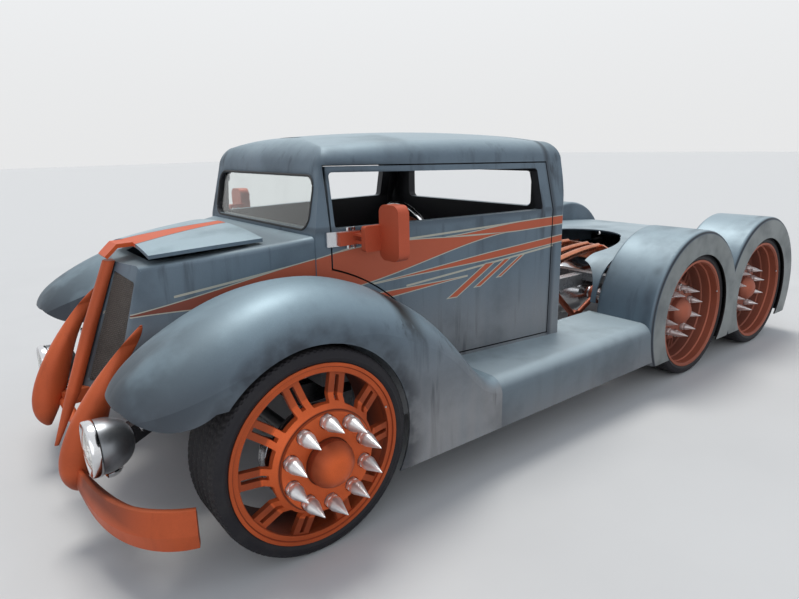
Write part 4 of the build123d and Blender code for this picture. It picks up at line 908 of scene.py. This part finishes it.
raise_height(rb, rubber_shader, rb.add(rb.times(side_ribs, 0.5), rubber_wear["Grain"]), 0.0003)
print("material tyre_rubber")

# %% [markdown]
# ### Turning the tyre
# Grooves could be cut with booleans, but that leaves poor faces on a round form. Here each point of the
# outline says which groove may run there, and the lathe asks for its radius again at every step round the tyre.

# %% Tyres
tyre_r, flange_r, bead_r = 0.3665, 0.3175, 0.3048
pitches = 96
cuts_per_pitch = 4
uncut, ring_cut, slant_cut = 0, 1, 2
ring_depth, slant_depth = 0.0062, 0.0042
slant_rate = 420.0
# name, axle, side, flange, rim width, what holds the brake caliper
wheel_rows = [
    ("front_left", axle_xs[0], -1, 0.951, 0.235, "left_knuckle"),
    ("front_right", axle_xs[0], 1, 0.951, 0.235, "right_knuckle"),
    ("rear_1_left", axle_xs[1], -1, 0.932, 0.290, "chassis"),
    ("rear_1_right", axle_xs[1], 1, 0.932, 0.290, "chassis"),
    ("rear_2_left", axle_xs[2], -1, 0.932, 0.290, "chassis"),
    ("rear_2_right", axle_xs[2], 1, 0.932, 0.290, "chassis"),
]


def tread_outline(width):
    """(along, radius, groove) from one bead to the other. along runs in from the wheel flange."""
    low, high = 0.012, width - 0.012
    rows = [(0.018, bead_r + 0.0003, uncut), (0.0132, flange_r + 0.001, uncut)]
    rows += [(0.0032, flange_r + 0.001, uncut), (-0.0030, 0.3255, uncut), (-0.0049, 0.3320, uncut)]
    rows += [(-0.0049, 0.3345, uncut), (-0.0038, 0.3360, uncut), (-0.0020, 0.3450, uncut)]
    rows += [(0.0005, 0.3520, uncut), (0.0040, 0.3580, slant_cut), (0.0075, 0.3615, slant_cut)]
    rows += [(low, 0.3640, slant_cut), (low + 0.012, tyre_r, slant_cut)]
    wall = list(rows)
    inner_low, inner_high = low + 0.016, high - 0.016
    count = 26
    for i in range(count + 1):
        share = i / count
        along = inner_low + share * (inner_high - inner_low)
        in_ring = i % 6 in (4, 5) and 2 < i < count - 1
        rows.append((along, tyre_r, ring_cut if in_ring else slant_cut))
    rows += [(width - a, r, g) for a, r, g in reversed(wall)]
    return rows


for name, axle_x, side, flange_y, rim_width, _ in wheel_rows:
    rows = tread_outline(rim_width)
    outline = [(side * (flange_y - a), r) for a, r, _ in rows]

    def cut(i, k, radius, rows=rows, side=side):
        along, _, groove = rows[i]
        if groove == ring_cut:
            return radius - ring_depth
        slant = int(along * slant_rate) * side
        if groove == slant_cut and (k + slant) % cuts_per_pitch == 0:
            return radius - slant_depth
        return radius

    form = lathe(outline, pitches * cuts_per_pitch, "Y", (axle_x, 0.0, hub_height), radius_at=cut)
    piece("tread_tyre_" + name, [form], rubber_mat, name + "_wheel", ("tyre_" + name,),
          sharp=30.0)

# %% [markdown]
# ## Spiked lug covers
# Ten chrome spikes stand on each wheel. Each is a hexagon nut at its foot, a short barrel above it and a
# straight cone that ends in a fine point. The CAD spikes are plain, so these stand for them: an outline of a
# dozen points turned round the stud, and a six-sided prism with its edges rounded off. Those deep inside the
# rear wheels are a size smaller.

# %% Spikes
lug_circle = 0.1429
lugs_per_wheel = 10
nut_radius = 0.0262
spike_chrome = plain_finish(
    "spike_chrome", (0.86, 0.85, 0.85), (0.60, 0.57, 0.56), rough=0.30, grime_rough=0.08,
    grain=260.0, grain_height=0.00003, along=(40.0, 40.0, 40.0), Metallic=0.75,
)
spike_outline = [
    (0.000, 0.0000), (0.000, 0.0225), (0.015, 0.0228), (0.018, 0.0240), (0.028, 0.0242), (0.034, 0.0236),
    (0.038, 0.0222), (0.060, 0.0154), (0.084, 0.0080), (0.100, 0.0030), (0.1055, 0.0010), (0.107, 0.0000),
]
disc_face = {"front": 1.005, "rear": 0.830}
spike_share = {"front": (1.0, 1.0), "rear": (0.80, 0.76)}  # length and width


def wheel_point(axle_x, side, radius, angle, out):
    """A point on a wheel: radius and angle about the axle, out from the car's middle."""
    return Vector((axle_x + radius * math.cos(angle), side * out, hub_height + radius * math.sin(angle)))


def hexagon(radius, turn=0.0):
    """Six corners of a nut or a bolt head, turned by an angle in degrees."""
    angles = [math.radians(60 * i + turn) for i in range(6)]
    return [(radius * math.cos(angle), radius * math.sin(angle)) for angle in angles]


for name, axle_x, side, _, _, _ in wheel_rows:
    end = name.split("_")[0]
    long, wide = spike_share[end]
    cone = [(side * long * a, wide * r) for a, r in spike_outline]
    spikes, nuts = [], []
    for k in range(lugs_per_wheel):
        foot = wheel_point(axle_x, side, lug_circle, math.radians(36.0 * (k + 0.5)), disc_face[end])
        spikes.append(lathe(cone, 28, "Y", foot, closed=False))
        corners = hexagon(nut_radius * wide ** 0.5, 9 * k)
        nuts.append(prism(corners, -0.007, 0.015,
                          lambda a, b, h, foot=foot, side=side: foot + Vector((a, side * h, b))))
    piece("spikes_" + name, spikes, spike_chrome, name + "_wheel", ("lugs_" + name,), sharp=50.0)
    piece("lug_nuts_" + name, nuts, spike_chrome, name + "_wheel", bevel=0.0018)

# %% [markdown]
# ## Brakes and valve stems
# Between the bars of the wheels one sees a brake disc and its caliper. The disc turns with the wheel and
# the caliper stays with the knuckle or the axle, so they ride on different bodies. The disc is a lathe form,
# and the fine turned rings on its faces are a sine of the radius, at the cost of one node and no faces.

# %% Brakes
brake_mat, bb, brake_shader, brake_place, _ = new_material("brake_steel", Metallic=0.9)
brake_radius = bb.use(ring.tree, Place=brake_place)["Radius"]
turning = bb.math("SINE", bb.times(brake_radius, 5200.0))
rust = bb.fade(bb.noise(brake_place, 26.0, 4.0), 0.45, 0.7)
hub_zone = bb.fade(brake_radius, 0.098, 0.102, 1.0, 0.0)
# The disc steel is darkened as painted shade behind the bars, and darker still at the hub.
brake_color = bb.mix(hub_zone, (0.11, 0.11, 0.115, 1), (0.030, 0.028, 0.027, 1))
bb.put(brake_shader.inputs["Base Color"], bb.mix(bb.times(rust, 0.5), brake_color, (0.09, 0.055, 0.038, 1)))
bb.put(brake_shader.inputs["Roughness"], bb.add(0.30, bb.times(rust, 0.25)))
raise_height(bb, brake_shader, turning, 0.00008)
disc_outline = [
    (0.000, 0.064), (0.000, 0.098), (0.004, 0.102), (0.004, 0.166), (0.0075, 0.1675), (0.0075, 0.1605),
    (0.0130, 0.1605), (0.0130, 0.1675), (0.0165, 0.166), (0.0165, 0.102), (0.014, 0.064),
]
brake_out = {"front": 0.894, "rear": 0.722}
caliper_from, caliper_to = math.radians(150.0), math.radians(205.0)
stem_angle = math.radians(18.0)
stem_ends = {  # radius about the axle, and out from the car's middle
    "front": ((0.2975, disc_face["front"] - 0.066), (0.290, 0.948)),
    "rear": ((0.2975, 0.920), (0.290, 0.929)),
}
for name, axle_x, side, _, _, holder in wheel_rows:
    end = name.split("_")[0]
    out = brake_out[end]
    disc = lathe([(side * (out + a), r) for a, r in disc_outline], 96, "Y", (axle_x, 0.0, hub_height))
    piece("brake_disc_" + name, [disc], brake_mat, name + "_wheel")
    sweep = [caliper_from + (caliper_to - caliper_from) * i / 10 for i in range(11)]
    forms = []
    for low, high, inner, outer in (
        (out - 0.022, out - 0.001, 0.118, 0.186), (out + 0.0175, out + 0.024, 0.118, 0.176),
        (out - 0.022, out + 0.024, 0.170, 0.186),
    ):
        corners = [(outer * math.cos(a), outer * math.sin(a)) for a in sweep]
        corners += [(inner * math.cos(a), inner * math.sin(a)) for a in reversed(sweep)]
        forms.append(prism(corners, low, high,
                           lambda a, b, h, x=axle_x, s=side: Vector((x + a, s * h, hub_height + b))))
    piece("caliper_" + name, forms, alloy, holder, bevel=0.002)
    stem = [wheel_point(axle_x, side, r, stem_angle, o) for r, o in stem_ends[end]]
    piece("valve_stem_" + name, [tube(stem, 0.0038, 10)], alloy, name + "_wheel")

# %% [markdown]
# ## Headlamps
# Through the clear glass one looks into a bright bowl with a warm bulb. The CAD shell is solid behind its
# lens, so a hollow shell stands for it: the same outside, turned back inside as a bowl. The flutes of the
# glass are cut into its inner skin as upright ripples. A chrome rim closes the front.

# %% Headlamps
lamp_x, lamp_y, lamp_z = -2.214, 0.498, 0.410
shell_r, shell_depth, shell_start = 0.094, 0.106, 0.044
bowl_r, bowl_depth = 0.085, 0.074
glass_r, glass_thick = 0.0838, 0.0030
flute_pitch, flute_depth = 0.0115, 0.0011
reflector = plain_finish(
    "lamp_reflector", (0.84, 0.83, 0.80), (0.62, 0.56, 0.44), rough=0.13, grime_rough=0.1,
    grain=60.0, grain_height=0.0006, along=(60.0, 60.0, 60.0), Metallic=1.0,
)
bulb_glow = lens_plastic("bulb_glow", (1.0, 0.62, 0.20), (1.0, 0.80, 0.45), 0.7)
shell_outline = [(0.034, shell_r), (shell_start, shell_r)]
for i in range(1, 13):
    turn = math.radians(90.0 * i / 12)
    radius = shell_r * math.cos(turn) ** 0.86 if i < 12 else 0.0
    shell_outline.append((shell_start + shell_depth * math.sin(turn), radius))
bowl_radii = [bowl_r * i / 16 for i in range(16, 0, -1)]
bowl_outline = [(0.012 + bowl_depth * (1.0 - (r / bowl_r) ** 2), r) for r in bowl_radii] + [(0.0862, 0.0)]
rim_outline = [
    (0.012, 0.0845), (0.004, 0.0855), (0.001, 0.0875), (0.000, 0.0905), (0.0015, 0.0938), (0.005, 0.0958),
    (0.011, 0.0970), (0.020, 0.0978), (0.029, 0.0980), (0.032, 0.0968), (0.0335, 0.0935), (0.0335, 0.084),
]
bulb_outline = [
    (0.044, 0.0), (0.045, 0.006), (0.050, 0.0105), (0.060, 0.012), (0.070, 0.0105), (0.084, 0.008),
]
signal_outline = [(-0.0042, 0.0), (-0.0038, 0.008), (-0.0022, 0.0145), (0.0006, 0.0185)]
steps, rings = 72, 14
print("lamp outlines ready")

# %% [markdown]
# ### Fluted glass, and both headlamps
# The glass is no plain lathe form. Its outer skin is smooth and dished, and the flutes run upright across
# the round, so each point of the inner skin gets a depth of its own. The two skins meet at the edge.

# %% Fluted glass, and both headlamps
def fluted_glass(centre):
    """A dished round glass with a smooth outer and a fluted inner skin, joined at the edge."""
    verts, faces = [], []
    for inner in (0, 1):
        for i in range(rings + 1):
            radius = glass_r * i / rings
            dish = -0.008 + 0.0177 * (radius / 0.083) ** 2
            for k in range(steps):
                angle = 2 * math.pi * k / steps
                y, z = radius * math.cos(angle), radius * math.sin(angle)
                ripple = flute_depth * math.cos(2 * math.pi * y / flute_pitch)
                flute = inner * (glass_thick + ripple * (1 if abs(z) > 0.012 else 0.3))
                verts.append((centre[0] + dish + flute, centre[1] + y, centre[2] + z))
    for inner in (0, 1):
        base = inner * (rings + 1) * steps
        for i in range(rings):
            for k in range(steps):
                a, b = base + i * steps + k, base + i * steps + (k + 1) % steps
                faces.append((a, b, b + steps, a + steps))
    edge = rings * steps
    back = 2 * edge + steps
    for k in range(steps):
        after = (k + 1) % steps
        faces.append((edge + k, edge + after, back + after, back + k))
    return verts, faces


for side, tag in ((-1, "left"), (1, "right")):
    centre = (lamp_x, side * lamp_y, lamp_z)
    shell = lathe(shell_outline, steps, "X", centre, closed=False)
    stalk = tube([(lamp_x + 0.070, side * y, lamp_z) for y in (0.372, 0.390, 0.420, 0.450)], 0.014, 24)
    piece("lamp_shell_" + tag, [shell, stalk], shell_grey, "chassis", ("headlamp_buckets",),
          sharp=30.0)
    rim = lathe(rim_outline, steps, "X", centre)
    piece("lamp_rim_" + tag, [rim], chrome, "chassis", sharp=60.0)
    bowl = lathe(bowl_outline, steps, "X", centre, closed=False)
    piece("lamp_bowl_" + tag, [bowl], reflector, "chassis")
    bulb = lathe(bulb_outline, 24, "X", centre, closed=False)
    piece("lamp_bulb_" + tag, [bulb], bulb_glow, "chassis")
    piece("lamp_lens_" + tag, [fluted_glass(centre)], lamp_glass, "chassis",
          ("headlamp_lenses",), sharp=60.0)
    signal = lathe(signal_outline, 32, "X", (lamp_x + 0.052, side * 0.468, 0.2968), closed=False)
    piece("signal_lens_" + tag, [signal], amber_lens, "chassis")

# %% [markdown]
# ## Tail lamp rims
# The four tail lenses sit in narrow chrome rims, as bolt-on round lamps do.

# %% Tail lamp rims
tail_rim = [(0.000, 0.0478), (0.0038, 0.0492), (0.0058, 0.0476), (0.0050, 0.0440), (0.000, 0.0440)]
tail_x, tail_z = 2.2735, 0.380
rim_line = [(tail_x + a, r) for a, r in tail_rim]
forms = [lathe(rim_line, 48, "X", (0.0, y, tail_z)) for y in (-0.44, -0.33, 0.33, 0.44)]
piece("tail_lamp_rims", forms, chrome, "chassis", sharp=50.0)

# %% [markdown]
# ## Wire screens
# The grille windows hold a fine woven screen, and a coarser one closes the nose behind each lamp.
# A screen is only wires, so it is made of wires: thin tubes that pass over and under each other.
# Each point is found by shooting a ray back onto the CAD plate, so the screen follows the rake of the nose.

# %% Wire screens
def shooter(name):
    """Casts rays onto a CAD node: returns the hit point or None."""
    mesh = nodes[name].data
    tree = BVHTree.FromPolygons([v.co for v in mesh.vertices], [tuple(p.vertices) for p in mesh.polygons])
    return lambda start, toward: tree.ray_cast(Vector(start), Vector(toward))[0]


def woven(name, target, lines, radius, wave, material):
    """Wires along lines of (y, z) points, laid on the front of a plate."""
    shoot = shooter(target)
    forms = []
    for number, line_points in enumerate(lines):
        run = []
        for i, (y, z) in enumerate(line_points):
            hit = shoot((-3.0, y, z), (1, 0, 0))
            if hit is not None:
                over = wave if (i + number) % 2 else -wave
                run.append(hit + Vector((-radius - wave + over, 0, 0)))
            if hit is None or i == len(line_points) - 1:
                if len(run) > 2:
                    forms.append(tube(run, radius, 4))
                run = []
    return piece(name, forms, material, "chassis", sharp=80.0)


screen_wire = plain_finish(
    "screen_wire", (0.145, 0.125, 0.112), (0.060, 0.050, 0.044), rough=0.42, grime_rough=0.2,
    grain=900.0, grain_height=0.0001, along=(90.0, 90.0, 90.0), Metallic=0.7,
)
pitch = 0.0072
columns = [round(0.022 + pitch * i, 5) for i in range(27)]
levels = [round(0.478 + pitch * i, 5) for i in range(61)]
lines = []
for side in (-1, 1):
    lines += [[(side * y, z) for z in levels] for y in columns]
    lines += [[(side * y, z) for y in columns] for z in levels]
woven("grille_screen_wires", "grille_mesh", lines, radius=0.0011, wave=0.0006, material=screen_wire)
lines = []
nose_step = 0.006
for side in (-1, 1):
    for start in range(-30, 42):
        low = 0.18 + start * 0.010
        for slope in (1, -1):
            offset = 0.0 if slope > 0 else 0.14
            lines.append([(side * (low + slope * nose_step * i + offset), 0.415 + nose_step * i)
                          for i in range(24)])
woven("nose_screen_wires", "nose_panels", lines, radius=0.0014, wave=0.0006, material=alloy)

# %% [markdown]
# ## Mirrors and their clamps
# Each mirror hangs from the door on a bright alloy clamp with bolts through it. The glass lies in the
# recess of the housing and faces the driver. It is a thin plate with rounded corners and a mirror finish.

# %% Mirrors
mirror_glass = plain_finish(
    "mirror_glass", (0.83, 0.85, 0.86), (0.60, 0.62, 0.64), rough=0.03, grime_rough=0.05,
    grain=200.0, grain_height=0.00001, Metallic=1.0,
)
mirror_out, mirror_height = 0.716, 1.032
door_out, door_flare = 0.536, 0.143  # how far out the door is at the clamp, and how it widens to the rear


def rounded(width, height, radius, per_corner=8):
    """Corners of a rounded rectangle about its middle."""
    corners = []
    for quarter, (sx, sy) in enumerate(((1, 1), (-1, 1), (-1, -1), (1, -1))):
        for i in range(per_corner + 1):
            angle = math.radians(90.0 * quarter + 90.0 * i / per_corner)
            corners.append((sx * (width / 2 - radius) + radius * math.cos(angle),
                            sy * (height / 2 - radius) + radius * math.sin(angle)))
    return corners


def on_door(a, b, h, side):
    """A point on the door's skin at x = a and z = b, h outside it."""
    return Vector((front_axle + a, side * (door_out + door_flare * (a - 0.285) + h), b))


for side, tag in ((-1, "left"), (1, "right")):
    body = tag + "_door"
    middle = Vector((front_axle, side * mirror_out, mirror_height))
    glass = prism(rounded(0.104, 0.195, 0.026), 0.5242, 0.5268, lambda a, b, h: middle + Vector((h, a, b)))
    piece("mirror_glass_" + tag, [glass], mirror_glass, body)
    corners = [(0.300, 0.979), (0.500, 0.979), (0.500, 1.037), (0.300, 1.037)]
    clamp_form = prism(corners, -0.004, 0.020, lambda a, b, h: on_door(a, b, h, side))
    piece("mirror_clamp_" + tag, [clamp_form], alloy, body, bevel=0.002)
    bolts = []
    for x in (0.395, 0.420):
        for low, high in ((1.036, 1.050), (0.966, 0.980)):
            bolts.append(prism(hexagon(0.0085), low, high,
                               lambda a, b, h, x=x: Vector((front_axle + x + a, side * 0.562 + b, h))))
    piece("clamp_bolts_" + tag, bolts, chrome, body, bevel=0.0008)

# %% [markdown]
# ## Window rubbers
# A dark rubber lip runs round the windscreen and the back window. Its line is found by shooting rays
# onto the cab a few millimetres outside the opening, so the lip bends with the rake of the glass.

# %% Window rubbers
shoot_cab = shooter("cab_shell")


def gasket(name, width, height, radius, middle_z, start_x, toward):
    """A rubber lip on the cab round an opening of this width and height."""
    points = []
    for y, z in rounded(width, height, radius, 10):
        hit = shoot_cab((start_x, y, middle_z + z), (toward, 0, 0))
        if hit is not None:
            points.append(hit)
    points.append(points[0])
    return piece(name, [tube(points, 0.0048, 8, ends=False)], bag_rubber, "chassis")


gasket("windscreen_rubber", 0.950, 0.210, 0.060, 1.145, -3.0, 1)
gasket("back_window_rubber", 1.010, 0.188, 0.035, 1.128, 3.0, -1)

# %% [markdown]
# ## Gauges
# Two large and three small round gauges sit in the dash. Each has a chrome bezel, a black face,
# pale ticks round it and one needle. The ticks are plain strokes without figures.

# %% Gauges
gauge_face = plain_finish(
    "gauge_face", (0.010, 0.010, 0.011), (0.022, 0.021, 0.020), rough=0.35, grime_rough=0.1,
    grain=300.0, grain_height=0.00004,
)
tick_paint = plain_finish(
    "tick_paint", (0.72, 0.68, 0.55), (0.55, 0.50, 0.40), rough=0.5, grime_rough=0.1,
    grain=300.0, grain_height=0.00004,
)
dash_x, gauge_z = front_axle + 0.500, 0.885
tick_lift, needle_lift = Vector((0.003, 0, 0)), Vector((0.0042, 0, 0))
needle = Vector((0.0, math.cos(2.3), math.sin(2.3)))
bezels, dials, ticks = [], [], []
for y, radius in ((-0.36, 0.048), (-0.24, 0.048), (-0.13, 0.028), (-0.05, 0.028), (0.03, 0.028)):
    centre = Vector((dash_x, y, gauge_z))
    bezel = [(0.000, radius), (0.006, radius + 0.001), (0.0085, radius - 0.002), (0.006, radius - 0.006),
             (0.0, radius - 0.006)]
    bezels.append(lathe(bezel, 40, "X", centre))
    dial = [(0.0022, 0.0), (0.0024, radius * 0.5), (0.0022, radius - 0.005)]
    dials.append(lathe(dial, 40, "X", centre, closed=False))
    for i in range(11):
        angle = math.radians(225.0 - 27.0 * i)
        arm = Vector((0.0, math.cos(angle), math.sin(angle)))
        ticks.append(tube([centre + tick_lift + arm * r for r in (radius * 0.66, radius * 0.82)], 0.0007, 4))
    ticks.append(tube([centre + needle_lift + needle * r for r in (-0.006, radius * 0.7)], 0.0009, 4))
piece("gauge_bezels", bezels, chrome, "chassis", sharp=60.0)
piece("gauge_faces", dials, gauge_face, "chassis")
piece("gauge_marks", ticks, tick_paint, "chassis")

# %% [markdown]
# ## Padded bench
# The bench is trimmed in copper hide: a thick cushion and an upright back, each sewn in upright channels.
# Both start as plain blocks a little smaller than the CAD seat. A voxel remesh gives them an even skin, a
# short cloth simulation with pressure and no gravity swells the skin as stuffing would, and a cap keeps
# every point within two centimetres of where it began. The channels are pressed in afterwards, because the
# remesh would lose them, and one subdivision smooths the result.

# %% Hide
hide, hb, hide_shader, hide_place, _ = new_material("copper_hide", Specular_IOR_Level=0.4)
pores = hb.node("TexVoronoi", feature="DISTANCE_TO_EDGE")
hb.put(pores.inputs["Vector"], hide_place)
pores.inputs["Scale"].default_value = 420.0
wrinkle = hb.noise(hide_place, 38.0, 5.0, 0.6)
worn_hide = hb.fade(hb.noise(hide_place, 6.0, 4.0), 0.40, 0.70)
seat_y = hb.xyz(hide_place)[1]
channel = 0.092
seam = hb.math("PINGPONG", hb.add(seat_y, 10 * channel), channel / 2)
seam_shade = hb.fade(seam, 0.0, 0.010, 0.75, 0.0)
hide_color = hb.mix(worn_hide, (0.34, 0.078, 0.030, 1), (0.44, 0.125, 0.055, 1))
hb.put(hide_shader.inputs["Base Color"], hb.mix(seam_shade, hide_color, (0.07, 0.018, 0.010, 1)))
hb.put(hide_shader.inputs["Roughness"], hb.fade(wrinkle, 0.3, 0.7, 0.40, 0.56))
pore_height = hb.fade(pores.outputs["Distance"], 0.0, 0.12)
raise_height(hb, hide_shader, hb.add(hb.times(pore_height, 0.5), wrinkle), 0.0006)
print("material copper_hide")

# %% [markdown]
# ### Swelling the pads
# The simulation runs for a few frames only, and its result is applied to the mesh, so nothing moves later.

# %% Bench pads
swell_cap = 0.018
pad_voxel = 0.013
pad_half_width = 0.505
swell_frames = 20
channel_depth, channel_width, crown = 0.013, 0.010, 0.004


def block(corners, half_width):
    """A side outline (x, z) stretched across the car, with rounded edges."""
    verts, faces = prism(corners, -half_width, half_width, lambda a, b, h: Vector((front_axle + a, h, b)))
    mesh = bpy.data.meshes.new("pad_block")
    mesh.from_pydata(verts, [], faces)
    edit = bmesh.new()
    edit.from_mesh(mesh)
    bmesh.ops.recalc_face_normals(edit, faces=edit.faces)
    bmesh.ops.bevel(edit, geom=list(edit.edges), offset=0.030, segments=4, affect="EDGES")
    edit.to_mesh(mesh)
    edit.free()
    return mesh


def applied(obj):
    """The object's mesh with its modifiers applied."""
    seen_by = bpy.context.evaluated_depsgraph_get()
    return bpy.data.meshes.new_from_object(obj.evaluated_get(seen_by))


def stuffed(name, corners, half_width, press):
    """A pad swollen by cloth pressure, with channels pressed into the faces that press() chooses."""
    pad = bpy.data.objects.new(name, block(corners, half_width))
    bpy.context.scene.collection.objects.link(pad)
    remesh = pad.modifiers.new("even skin", "REMESH")
    remesh.mode, remesh.voxel_size = "VOXEL", pad_voxel
    pad.data = applied(pad)
    pad.modifiers.clear()
    start = [v.co.copy() for v in pad.data.vertices]
    cloth = pad.modifiers.new("stuffing", "CLOTH")
    cloth.settings.use_pressure = True
    cloth.settings.uniform_pressure_force = 4.0
    cloth.settings.effector_weights.gravity = 0.0
    cloth.point_cache.frame_start, cloth.point_cache.frame_end = 1, swell_frames
    for number in range(1, swell_frames + 1):
        bpy.context.scene.frame_set(number)
    pad.data = applied(pad)
    pad.modifiers.clear()
    bpy.context.scene.frame_set(1)
    moved = 0.0
    for v, first in zip(pad.data.vertices, start):
        step = v.co - first
        if step.length > swell_cap:
            step *= swell_cap / step.length
        v.co = first + step
        moved = max(moved, step.length)
    pad.data.update()
    normals = [v.normal.copy() for v in pad.data.vertices]
    for v, normal in zip(pad.data.vertices, normals):
        off = abs((v.co.y + 10 * channel + channel / 2) % channel - channel / 2)
        depth = channel_depth * math.exp(-((off / channel_width) ** 2)) - crown
        v.co -= normal * depth * press(v.co, normal)
    pad.data.polygons.foreach_set("use_smooth", [True] * len(pad.data.polygons))
    smooth = pad.modifiers.new("smooth skin", "SUBSURF")
    smooth.levels = smooth.render_levels = 1
    pad.data.materials.clear()
    pad.data.materials.append(hide)
    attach(pad, "chassis")
    print("pad", name, "points", len(pad.data.vertices), "moved up to", round(moved, 4))
    return pad


def clamp(value, low, high):
    share = min(max((value - low) / (high - low), 0.0), 1.0)
    return share * share * (3 - 2 * share)


def seat_press(low):
    """How far a point of a pad is pressed: the faces up and forward, and not the outer ends."""
    return lambda co, n: max(clamp(n.z, low, 0.7), clamp(-n.x, 0.2, 0.7)) * clamp(0.50 - abs(co.y), 0.0, 0.03)


cushion = stuffed(
    "bench_cushion", [(1.066, 0.400), (1.060, 0.538), (1.418, 0.524), (1.418, 0.400)], pad_half_width,
    seat_press(0.2),
)
stuffed(
    "bench_back", [(1.412, 0.470), (1.452, 0.945), (1.520, 0.945), (1.520, 0.470)], pad_half_width,
    seat_press(0.3),
)
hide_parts("bench_seat")

# %% [markdown]
# ## Floor, backdrop and soft light
# The car stands on a plain pale floor. One broad lamp stands for the high sun, which is a little behind
# the car and softened to a large disc. A weak one lights the side that the camera sees, and the world
# fills the shadows from all round. What the camera, mirrors and glass see of the world is a plain pale
# backdrop, given by the Light Path node, and adds no light of its own.

# %% Floor and light
floor_mesh = bpy.data.meshes.new("studio_floor")
floor_mesh.from_pydata([(-60, -60, 0), (60, -60, 0), (60, 60, 0), (-60, 60, 0)], [], [(0, 1, 2, 3)])
studio_floor = bpy.data.objects.new("studio_floor", floor_mesh)
bpy.context.scene.collection.objects.link(studio_floor)
floor_mat, fb, floor_shader, floor_place, _ = new_material("pale_floor", Roughness=0.75)
near = fb.node("VectorMath", operation="LENGTH")
fb.put(near.inputs[0], floor_place)
clouds = fb.fade(fb.noise(floor_place, 1.2, 4.0), 0.3, 0.7)
tone = fb.times(clouds, fb.fade(near.outputs["Value"], 3.0, 9.0, 1.0, 0.0))
fb.put(floor_shader.inputs["Base Color"], fb.mix(tone, (0.615, 0.610, 0.600, 1), (0.590, 0.585, 0.576, 1)))
raise_height(fb, floor_shader, fb.noise(floor_place, 260.0, 2.0), 0.0002)
floor_mesh.materials.append(floor_mat)

world = bpy.data.worlds.new("soft_studio")
bpy.context.scene.world = world
world.use_nodes = True
wb = Board(world.node_tree)
fill_light = world.node_tree.nodes["Background"]
fill_light.inputs["Color"].default_value = (0.80, 0.88, 1.0, 1)
fill_light.inputs["Strength"].default_value = 0.62
seen = wb.node("Background")
direction = wb.xyz(wb.node("TexCoord").outputs["Generated"])[2]
backdrop = wb.mix(wb.fade(direction, -0.05, 0.55), (0.80, 0.805, 0.81, 1), (0.92, 0.945, 0.97, 1))
wb.put(seen.inputs["Color"], backdrop)
path = wb.node("LightPath")
mirrored = wb.either(path.outputs["Is Glossy Ray"], path.outputs["Is Transmission Ray"])
shown = wb.either(path.outputs["Is Camera Ray"], mirrored)
choose = wb.node("MixShader")
wb.put(choose.inputs[0], shown)
wb.put(choose.inputs[1], fill_light.outputs[0])
wb.put(choose.inputs[2], seen.outputs[0])
world.node_tree.links.new(choose.outputs[0], world.node_tree.nodes["World Output"].inputs[0])


def sun(name, strength, color, spread, toward):
    """A far lamp whose light travels toward a direction."""
    data = bpy.data.lights.new(name, "SUN")
    data.energy, data.color, data.angle = strength, color, math.radians(spread)
    made = bpy.data.objects.new(name, data)
    made.rotation_mode = "QUATERNION"
    made.rotation_quaternion = Vector(toward).to_track_quat("-Z", "Y")
    bpy.context.scene.collection.objects.link(made)


sun("key_sun", 1.75, (1.0, 0.98, 0.94), 24.0, (-0.10, -0.30, -1.0))
sun("fill_sun", 0.55, (0.96, 0.98, 1.0), 60.0, (0.75, 0.85, -0.45))
print("floor, world and two suns")
